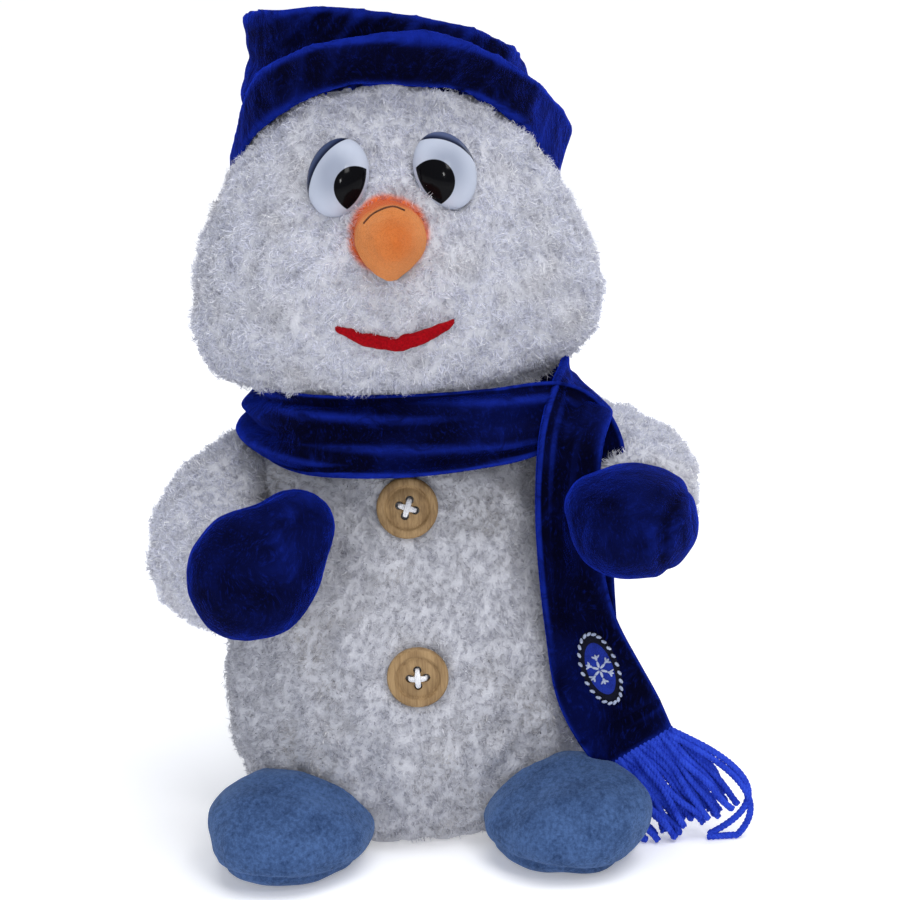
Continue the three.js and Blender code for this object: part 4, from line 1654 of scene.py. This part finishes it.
@dataclass
class Snowflake:
    """An embroidered badge on the scarf: a snowflake in an oval chain-stitched border."""

    scarf: Scarf
    recipe: Recipe
    thread: bpy.types.Material
    field_finish: bpy.types.Material
    edge_finish: bpy.types.Material
    centre: float = 0.941
    aside: float = 0.0022
    half_width: float = 0.0062
    half_height: float = 0.0135
    border: int = 24
    arm: float = 0.0047
    stretch: float = 1.25
    border_share: float = 0.93
    twig: float = 0.0008
    lift: float = 0.0004

    def at(self, x: float, y: float, lift: float) -> tuple[np.ndarray, np.ndarray, np.ndarray, np.ndarray]:
        """A point of the badge on the scarf.

        Args:
            x: Distance across the badge, positive towards the toy's left.
            y: Distance up it.
            lift: Height over the cloth.

        Returns:
            The point, and the directions across, up and out of the cloth.
        """
        centre, _, _, sizes = self.scarf.lines
        travelled = travel(centre)
        goal = np.interp(self.centre, np.linspace(0, 1, self.scarf.steps), travelled) - y
        step = np.interp(goal, travelled, np.linspace(0, 1, self.scarf.steps))
        half = np.interp(step, np.linspace(0, 1, self.scarf.steps), sizes[:, 0])
        point, across, out = self.scarf.surface(step, -(x + self.aside) / half, lift)
        return point, -across, np.cross(out, -across), out

    def build(self) -> list[bpy.types.Object]:
        """Builds the field and the stitches.

        Returns:
            The finished pieces.
        """
        return [
            self.patch("snowflake_edge", 1.06, self.lift, self.edge_finish),
            self.patch("snowflake_field", 0.8, self.lift * 1.8, self.field_finish),
            self.stitches(),
        ]

    def patch(self, name: str, size: float, lift: float, finish: bpy.types.Material) -> bpy.types.Object:
        """A raised oval field under the stitches.

        Args:
            name: The new piece's name.
            size: The oval's size, as a share of the badge's.
            lift: How high it stands over the cloth.
            finish: The material.

        Returns:
            The new piece.
        """
        rings, around = 7, 40
        points = [self.at(0, 0, lift)[0]]
        for i in range(1, rings + 1):
            share = i / rings
            height = lift * (1 - share**6) - 0.0002 * share**8
            for k in range(around):
                angle = k / around * TAU
                x = share * size * self.half_width * math.cos(angle)
                y = share * size * self.half_height * math.sin(angle)
                points.append(self.at(x, y, height)[0])
        faces = [(0, 1 + k, 1 + (k + 1) % around) for k in range(around)]
        for i in range(rings - 1):
            a, b = 1 + i * around, 1 + (i + 1) * around
            faces += [(a + k, b + k, b + (k + 1) % around, a + (k + 1) % around) for k in range(around)]
        mesh = mesh_of(name, points, faces)
        out = Vector(self.at(0, 0, 0)[3])
        if sum((f.normal.dot(out) for f in mesh.polygons)) < 0:
            mesh.flip_normals()
        return present(place(name, mesh, finish), Slot.YARN)

    def marks(self) -> Iterable[tuple[float, float, float, float, float]]:
        """Each stitch: its middle x and y, its heading, its length and its width."""
        for i in range(self.border):
            angle = i / self.border * TAU
            x = self.half_width * self.border_share * math.cos(angle)
            y = self.half_height * self.border_share * math.sin(angle)
            heading = math.atan2(self.half_height * math.cos(angle), -self.half_width * math.sin(angle))
            yield x, y, heading + 0.5, 0.0019, 0.0011
        for i in range(6):
            angle = i / 6 * TAU + TAU / 4
            for share in (0.3, 0.72):
                reach = self.arm * share
                x, y = reach * math.cos(angle), reach * math.sin(angle) * self.stretch
                yield x, y, angle, self.arm * 0.5, 0.0009
            for turn in (-0.9, 0.9):
                base = self.arm * 0.66
                x = base * math.cos(angle) + self.twig * math.cos(angle + turn)
                y = base * math.sin(angle) * self.stretch + self.twig * math.sin(angle + turn)
                yield x, y, angle + turn, 0.0018, 0.0007

    def stitches(self) -> bpy.types.Object:
        """All the badge's stitches, sewn by Geometry Nodes."""
        marks = list(self.marks())
        places, along, out, sizes = [], [], [], []
        for x, y, heading, length, width in marks:
            point, across, up, normal = self.at(x, y, self.lift * 1.8 + 0.0001)
            places.append(point)
            along.append(across * math.cos(heading) + up * math.sin(heading))
            out.append(normal)
            sizes.append((length / 2, width / 2, width / 2))
        mesh = bpy.data.meshes.new("stitch_places")
        mesh.from_pydata([tuple(p) for p in places], [], [])
        for key, rows in (("along", along), ("out", out), ("size", sizes)):
            layer = mesh.attributes.new(key, "FLOAT_VECTOR", "POINT")
            layer.data.foreach_set("vector", np.array(rows, np.float32).ravel())
        carrier = place("stitch_places", mesh)
        stitch = self.stitch()
        piece = self.recipe.run(carrier, "snowflake_stitches", Stitch=stitch, Material=self.thread)
        discard(carrier)
        discard(stitch)
        return present(piece, Slot.THREAD)

    @staticmethod
    def stitch() -> bpy.types.Object:
        """A plump stitch of unit half size, lying along X."""
        rings, around = 7, 8
        points = []
        for i in range(rings):
            x = -1 + 2 * i / (rings - 1)
            radius = math.sqrt(max(1 - abs(x) ** 2.4, 0.02))
            for k in range(around):
                angle = k / around * TAU + 0.9 * x
                lobe = 0.85 + 0.15 * math.cos(2 * angle)
                points.append((x, radius * lobe * math.cos(angle), radius * lobe * math.sin(angle)))
        return place("stitch", mesh_of("stitch", points, ring_faces(rings, around)))


# ---- Face ---------------------------------------------------------------------------------


@dataclass
class Eye:
    """A glossy plastic dome, leaning in at the top, with its UV map laid over it."""

    side: Side
    finish: bpy.types.Material
    radii: tuple[float, float, float] = (0.0098, 0.0076, 0.0128)
    lean: float = 15.0
    lift: float = 17.0
    outward: float = 9.0
    back: float = 0.002
    segments: int = 64
    rings: int = 40

    def turn(self) -> Matrix:
        """The dome's own turn: it leans in, looks up a little and faces outwards."""
        sign = self.side.value
        return (
            Matrix.Rotation(math.radians(self.outward) * sign, 3, "Z")
            @ Matrix.Rotation(-math.radians(self.lift), 3, "X")
            @ Matrix.Rotation(-math.radians(self.lean) * sign, 3, "Y")
        )

    def build(self) -> bpy.types.Object:
        """Builds the eye in the middle of its CAD node's box.

        Returns:
            The finished piece.
        """
        node = f"eye_{self.side.word}"
        low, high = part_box(node)
        turn = self.turn()
        points, layer = [], []
        for i in range(self.rings + 1):
            polar = i / self.rings * math.pi
            for k in range(self.segments):
                angle = k / self.segments * TAU
                y = -math.cos(polar)
                x, z = math.sin(polar) * math.cos(angle), math.sin(polar) * math.sin(angle)
                local = Vector((x * self.radii[0], min(y * self.radii[1], self.back), z * self.radii[2]))
                points.append(turn @ local)
                layer.append((-x * self.side.value, z))
        cloud = np.array([tuple(p) for p in points])
        middle = (np.array(low) + np.array(high)) / 2 - (cloud.min(0) + cloud.max(0)) / 2
        mesh = bpy.data.meshes.new(node)
        faces = ring_faces(self.rings + 1, self.segments, caps=False)
        mesh.from_pydata([tuple(p) for p in cloud + middle], [], faces)
        corners = [layer[mesh.loops[c].vertex_index] for c in range(len(mesh.loops))]
        mesh.uv_layers.new(name="dome").data.foreach_set("uv", np.array(corners, np.float32).ravel())
        weld(mesh, 1e-6)
        return present(place(f"{node}_dome", mesh, self.finish), Slot.EYE, node)


@dataclass
class Nose:
    """A stuffed velour carrot with a stitched seam over its top."""

    yarn: bpy.types.Material
    twist: Twist
    voxel: float = 0.0009
    rounds: int = 16
    chin: float = 0.3
    drop: float = 0.0014
    lumps: tuple[tuple[float, float, float], ...] = ((0.012, 0.0011, 51.0), (0.004, 0.0003, 52.0))
    seam_start: float = 158.0
    seam_sweep: float = 104.0
    seam_ahead: float = 0.0092
    seam_radius: float = 0.00036
    seam_pitch: float = 0.0016
    fill: float = 0.85

    def axis(self) -> tuple[Vector, Vector]:
        """The middle of the base and the tip, from the CAD node's points."""
        points = points_of(frame["nodes"]["nose"].data)
        tip = points[points[:, 1].argmin()]
        base = points[points[:, 1] > points[:, 1].max() - 0.006].mean(0)
        return Vector(base), Vector(tip)

    def build(self) -> list[bpy.types.Object]:
        """Builds the nose and its seam thread.

        Returns:
            The finished pieces.
        """
        base, tip = self.axis()
        velour = VelourFinish(tuple(base), tuple(tip)).build()
        piece = soft_copy("nose", "nose_velour", self.voxel, self.rounds)
        self.narrow(piece, base)
        for lump in self.lumps:
            rumple(piece, *lump)
        coat(piece, velour)
        present(piece, Slot.VELOUR, "nose")
        return [piece, self.seam(piece, base, tip)]

    def narrow(self, piece: bpy.types.Object, base: Vector) -> None:
        """Draws the underside down into a narrower chin."""
        points = points_of(piece.data)
        middle = (points[:, 2].max() + points[:, 2].min()) / 2
        below = np.clip((middle - points[:, 2]) / (middle - points[:, 2].min()), 0, 1) ** 2
        points[:, 0] = base.x + (points[:, 0] - base.x) * (1 - self.chin * below)
        points[:, 2] -= self.drop * below
        reshape(piece, points)

    def seam(self, nose: bpy.types.Object, base: Vector, tip: Vector) -> bpy.types.Object:
        """The brown stitch line laid over the top of the nose."""
        axis = (tip - base).normalized()
        aside = Vector((1, 0, 0)) - axis * axis.x
        aside.normalize()
        upward = aside.cross(axis)
        if upward.z < 0:
            upward = -upward
        line = []
        for i in range(18):
            share = i / 17
            angle = math.radians(self.seam_start - self.seam_sweep * share)
            centre = base + axis * (self.seam_ahead - 0.0004 * math.sin(share * math.pi))
            outward = aside * math.cos(angle) + upward * math.sin(angle)
            hit, point, normal, _ = nose.ray_cast(centre + outward * 0.03, -outward)
            line.append(tuple(point + normal * 0.0002) if hit else tuple(centre + outward * 0.01))
        path = smooth_path(line, 60)
        piece = self.twist.spin(
            "nose_seam_thread", [path], self.seam_radius, self.seam_pitch, self.yarn
        )
        return present(piece, Slot.THREAD)


@dataclass
class Mouth:
    """A smiling felt band, softly swollen, laid over the pile's backing."""

    felt: bpy.types.Material
    voxel: float = 0.0006
    rounds: int = 4
    forward: float = 0.0011
    swell: float = 0.0004
    lump: tuple[float, float, float] = (0.003, 0.0006, 61.0)

    def build(self) -> bpy.types.Object:
        """Builds the mouth.

        Returns:
            The finished piece.
        """
        piece = soft_copy("mouth", "mouth_felt", self.voxel, self.rounds)
        points, normals = skin_of(piece)
        front = np.clip(-normals[:, 1], 0, 1)
        edge = np.abs(normals[:, 2])
        points[:, 1] -= front * self.forward
        points += normals * (edge * self.swell)[:, None]
        reshape(piece, points)
        rumple(piece, *self.lump)
        coat(piece, self.felt)
        present(piece, Slot.FELT, "mouth")
        return piece


# ---- Buttons ------------------------------------------------------------------------------


@dataclass
class Button:
    """A turned wooden button with a raised rim and four holes, sewn on with a cross of yarn."""

    which: str
    lift: float
    turn: float
    wood: bpy.types.Material
    thread: bpy.types.Material
    twist: Twist
    radius: float = 0.01
    thickness: float = 0.0034
    rim: float = 0.0026
    dish: float = 0.0007
    hole: float = 0.00135
    spread: float = 0.0027
    strand_gap: float = 0.00052
    strand_radius: float = 0.00046
    strand_pitch: float = 0.0019
    segments: int = 96

    def matrix(self) -> Matrix:
        """Where the button sits, from its CAD node's box: Y runs into the belly."""
        low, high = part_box(f"button_{self.which}")
        turn = Matrix.Rotation(-math.radians(self.lift), 4, "X") @ Matrix.Rotation(
            math.radians(self.turn), 4, "Y"
        )
        middle = (low + high) / 2
        return Matrix.Translation(middle) @ turn @ Matrix.Translation((0, self.thickness / 2, 0))

    def profile(self) -> list[tuple[float, float]]:
        """The button's outline from its middle at the back to its middle in front."""
        r, h, rim, dish = self.radius, self.thickness, self.rim, self.dish
        return [
            (0, 0), (r * 0.5, 0), (r - 0.0012, 0), (r - 0.0005, 0.0002), (r, 0.0009), (r, h - 0.001),
            (r - 0.0003, h - 0.0003), (r - 0.0009, h), (r - rim + 0.0004, h), (r - rim, h - 0.0001),
            (r - rim - 0.0003, h - dish), (r - rim - 0.0006, h - dish - 0.00035),
            (r - rim - 0.0010, h - dish - 0.00035), (r - rim - 0.0014, h - dish), (r * 0.3, h - dish * 1.1),
            (0, h - dish * 1.15),
        ]

    def build(self) -> list[bpy.types.Object]:
        """Builds the button and its thread.

        Returns:
            The finished pieces.
        """
        rings = [
            [(r * math.cos(k / self.segments * TAU), -h, r * math.sin(k / self.segments * TAU))
             for k in range(self.segments)]
            for r, h in self.profile()
        ]
        flat = [p for ring in rings for p in ring]
        mesh = bpy.data.meshes.new("disc")
        mesh.from_pydata(flat, [], ring_faces(len(rings), self.segments, caps=False))
        weld(mesh, 1e-7)
        piece = place(f"button_{self.which}_wood", mesh, self.wood)
        for k in range(4):
            angle = k / 4 * TAU
            self.drill(piece, self.spread * math.cos(angle), self.spread * math.sin(angle))
        piece.data.transform(self.matrix())
        piece.data.polygons.foreach_set("use_smooth", [True] * len(piece.data.polygons))
        piece.data.set_sharp_from_angle(angle=math.radians(50))
        present(piece, Slot.WOOD, f"button_{self.which}")
        return [piece, self.yarn()]

    def drill(self, disc: bpy.types.Object, x: float, z: float) -> None:
        """Cuts one hole through a disc."""
        tool = bmesh.new()
        bmesh.ops.create_cone(
            tool, cap_ends=True, segments=24, radius1=self.hole, radius2=self.hole,
            depth=self.thickness * 4,
            matrix=Matrix.Translation((x, 0, z)) @ Matrix.Rotation(math.pi / 2, 4, "X"),
        )
        drill = poured(tool, "drill")
        cut = disc.modifiers.new("hole", "BOOLEAN")
        cut.operation = "DIFFERENCE"
        cut.solver = "EXACT"
        cut.object = drill
        settle(disc)
        discard(drill)

    def yarn(self) -> bpy.types.Object:
        """The cross of yarn: two passes over the button, each of a few strands side by side."""
        face = -(self.thickness - self.dish)
        lines = []
        for pair in range(2):
            angle = pair / 2 * math.pi
            way = Vector((math.cos(angle), 0, math.sin(angle)))
            aside = Vector((-math.sin(angle), 0, math.cos(angle)))
            for strand in (-1, 0, 1):
                offset = aside * strand * self.strand_gap
                hop = -0.0009 - 0.00075 * pair - 0.0002 * (strand == 0)
                spots = [
                    (-1.0, 0.0016), (-1.0, 0.0004), (-0.93, hop * 0.75), (-0.55, hop * 1.1),
                    (0, hop * 1.15), (0.55, hop * 1.1), (0.93, hop * 0.75), (1.0, 0.0004), (1.0, 0.0016),
                ]
                lines.append([way * self.spread * s + offset * (1 - 0.5 * abs(s) ** 4)
                              + Vector((0, face + y, 0)) for s, y in spots])
        place_at = np.array(self.matrix())
        paths = [
            smooth_path([tuple(p) for p in line], 40) @ place_at[:3, :3].T + place_at[:3, 3] for line in lines
        ]
        node = f"button_thread_{self.which}"
        piece = self.twist.spin(
            f"{node}_yarn", paths, self.strand_radius, self.strand_pitch, self.thread
        )
        return present(piece, Slot.THREAD, node)


# ---- Studio -------------------------------------------------------------------------------


@dataclass
class Studio:
    """A pale floor, soft lights and a camera a little above the toy."""

    aim: tuple[float, float, float] = (0.0149, 0.0, 0.1256)
    distance: float = 1.0
    elevation: float = 12.0
    roll: float = 3.5
    view_width: float = 0.3024
    sensor: float = 36.0
    ambient: float = 0.36
    backdrop: float = 1.05

    def build(self) -> None:
        """Builds the floor, the lights and the camera."""
        self.floor()
        self.world()
        self.sky("daylight", (0.18, -0.27, 0.95), 1.8, 46.0)
        self.light("key", (0.4, -1.1, 0.88), (0.3, 0.34), 3.9, (1.0, 0.99, 0.97))
        self.light("flash", (0.03, -1.04, 0.43), (0.06, 0.09), 1.0, (1.0, 1.0, 1.0))
        self.light("fill", (-0.95, -0.85, 0.4), (0.7, 0.7), 2.0, (0.88, 0.93, 1.0), False)
        self.light("rim", (0.55, 0.9, 0.55), (0.6, 0.6), 2.6, (0.9, 0.94, 1.0))
        self.camera()
        bpy.context.scene.view_settings.view_transform = "Standard"

    def floor(self) -> None:
        """A wide pale floor under the toy."""
        mesh = bpy.data.meshes.new("floor")
        reach = 4.0
        corners = [(-reach, -reach, 0), (reach, -reach, 0), (reach, reach, 0), (-reach, reach, 0)]
        mesh.from_pydata(corners, [], [(0, 1, 2, 3)])
        place("floor", mesh, FloorFinish().build())

    def world(self) -> None:
        """A pale surround, dimmer as a light than as a backdrop."""
        world = bpy.data.worlds.new("surround")
        world.use_nodes = True
        graph = Graph(world.node_tree)
        graph.tree.nodes.clear()
        seen = graph.add("ShaderNodeLightPath").outputs["Is Camera Ray"]
        lit = graph.add("ShaderNodeBackground", {0: (0.88, 0.92, 1.0), 1: self.ambient})
        backdrop = graph.add("ShaderNodeBackground", {0: (0.96, 0.97, 1.0), 1: self.backdrop})
        mixed = graph.add("ShaderNodeMixShader", {0: seen, 1: lit.outputs[0], 2: backdrop.outputs[0]})
        graph.add("ShaderNodeOutputWorld", {0: mixed.outputs[0]})
        bpy.context.scene.world = world

    def sky(self, name: str, way: tuple[float, float, float], power: float, width: float) -> None:
        """Adds an even light from one side of the sky.

        Args:
            name: The light's name.
            way: The direction it comes from.
            power: Its irradiance.
            width: How wide a patch of sky it fills, in degrees.
        """
        data = bpy.data.lights.new(name, "SUN")
        data.energy = power
        data.angle = math.radians(width)
        data.color = (0.97, 0.98, 1.0)
        self.hang(data, -Vector(way))

    def light(
        self, name: str, spot: tuple[float, float, float], size: tuple[float, float],
        power: float, colour: Colour, reflected: bool = True,
    ) -> None:
        """Adds a soft light that looks at the toy.

        Args:
            name: The light's name.
            spot: Where it hangs.
            size: Its width and height.
            power: Its power in watts.
            colour: Its colour.
            reflected: Whether it shows in glossy surfaces.
        """
        data = bpy.data.lights.new(name, "AREA")
        data.shape = "RECTANGLE"
        data.size, data.size_y = size
        data.energy = power
        data.color = colour
        lamp = self.hang(data, Vector(self.aim) - Vector(spot))
        lamp.visible_glossy = reflected
        lamp.location = spot

    @staticmethod
    def hang(data: bpy.types.Light, way: Vector) -> bpy.types.Object:
        """Adds a lamp that shines along a direction."""
        lamp = bpy.data.objects.new(data.name, data)
        lamp.rotation_euler = way.to_track_quat("-Z", "Y").to_euler()
        bpy.context.scene.collection.objects.link(lamp)
        return lamp

    def camera(self) -> None:
        """Adds the camera, level with the chest and rolled a little."""
        tilt, roll = math.radians(self.elevation), math.radians(self.roll)
        back = Vector((0, -math.cos(tilt), math.sin(tilt)))
        upright = Vector((0, math.sin(tilt), math.cos(tilt)))
        right = Vector((1, 0, 0)) * math.cos(roll) - upright * math.sin(roll)
        up = Vector((1, 0, 0)) * math.sin(roll) + upright * math.cos(roll)
        data = bpy.data.cameras.new("camera")
        data.sensor_width = self.sensor
        data.lens = self.sensor * self.distance / self.view_width
        camera = bpy.data.objects.new("camera", data)
        turn = Matrix((right, up, back)).transposed().to_4x4()
        camera.matrix_world = Matrix.Translation(Vector(self.aim) + back * self.distance) @ turn
        bpy.context.scene.collection.objects.link(camera)
        bpy.context.scene.camera = camera


# ---- Assembly -----------------------------------------------------------------------------


def merged_copy(pieces: Iterable[bpy.types.Object]) -> bpy.types.Object:
    """One helper object with the meshes of several pieces.

    Args:
        pieces: The pieces to copy.

    Returns:
        The helper, which isn't part of the model.
    """
    tool = bmesh.new()
    for piece in pieces:
        tool.from_mesh(piece.data)
    return poured(tool, "keep_clear")


def main() -> None:
    """Builds the toy, then the studio."""
    velvet = VelvetFinish().build()
    fleece = FleeceFinish().build()
    royal = YarnFinish("royal_yarn", (0.03, 0.08, 0.66), (0.007, 0.024, 0.36)).build()
    white = YarnFinish("white_yarn", (0.9, 0.9, 0.92), (0.62, 0.63, 0.68), 0.2).build()
    brown = YarnFinish("brown_yarn", (0.2, 0.08, 0.045), (0.05, 0.02, 0.012), 0.2).build()
    silver = YarnFinish("silver_thread", (0.5, 0.56, 0.72), (0.24, 0.28, 0.42), 0.3).build()
    badge = YarnFinish("badge_thread", (0.014, 0.035, 0.33), (0.005, 0.013, 0.15), 0.15).build()
    edge = YarnFinish("badge_edge_thread", (0.006, 0.007, 0.02), (0.002, 0.002, 0.006), 0.05).build()
    wood = WoodFinish().build()
    strands, stitches = Twist(tube_recipe()), stitch_recipe()

    hat = Hat(velvet).build()
    mittens = [Mitten(side, velvet).build() for side in Side]
    feet = [Foot(side, fleece).build() for side in Side]
    # The last colour of each eye is its brow's painted reflection, lighter on the left eye.
    right_eye = EyeFinish("eye_plastic_right", (0.8, -0.21), (1.84, -0.497), 2.585, (0.045, 0.065, 0.14))
    left_eye = EyeFinish("eye_plastic_left", (0.63, -0.22), (0.888, -0.596), 1.95, (0.09, 0.115, 0.22))
    eyes = [Eye(Side.RIGHT, right_eye.build()).build(), Eye(Side.LEFT, left_eye.build()).build()]
    nose = Nose(brown, strands)
    nose_pieces = nose.build()
    mouth = Mouth(FeltFinish().build()).build()
    buttons = [
        *Button("upper", 10, 20, wood, white, strands).build(),
        *Button("lower", -2, 0, wood, white, strands).build(),
    ]
    scarf = Scarf(velvet)
    strip = scarf.build()
    front = Fringe(
        "fringe_front_yarn", "scarf_fringe_front", 17, royal, strands, scarf, 1, 0.031,
        (0.62, -0.04, -0.78), 0.05, stray=2,
    ).build()
    back = Fringe(
        "fringe_back_yarn", "scarf_fringe_back", 13, royal, strands, scarf, 0, 0.019,
        (0.03, 0.02, -1.0), 0.1, seed=9,
    ).build()
    badge_pieces = Snowflake(scarf, stitches, silver, badge, edge).build()

    base, _ = nose.axis()
    dyed = base + Vector((-0.0006, 0.0, -0.0026))
    skins = StuffedBody(BackingFinish(dye_centre=tuple(dyed)).build()).build()
    clear = merged_copy([*hat, *mittens, *feet, *eyes, nose_pieces[0], mouth, strip, *buttons[::2]])
    tufts, grower = Tufts().build(), pile_recipe()
    fresh = Pile(tufts, grower, PileFinish(dye_centre=tuple(dyed)).build(), clear)
    # The torso's pile takes the darker copy, whose colour holds painted shade.
    shaded_pile = Pile(tufts, grower, SHADED_PILE.build(), clear)
    for pile, node, spacing, cuts in (
        (fresh, "head", 0.00148, (-0.02, 0.012)),
        (shaded_pile, "torso", 0.00172, (0.003,)),
        (fresh, "arm_right", 0.0016, ()),
        (fresh, "arm_left", 0.0016, ()),
    ):
        pile.grow(skins[node], f"{node}_pile", spacing, cuts)
    discard(clear)
    Studio().build()

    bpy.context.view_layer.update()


if __name__ == "__main__":
    logging.basicConfig(level=logging.INFO, format="%(message)s")
    main()
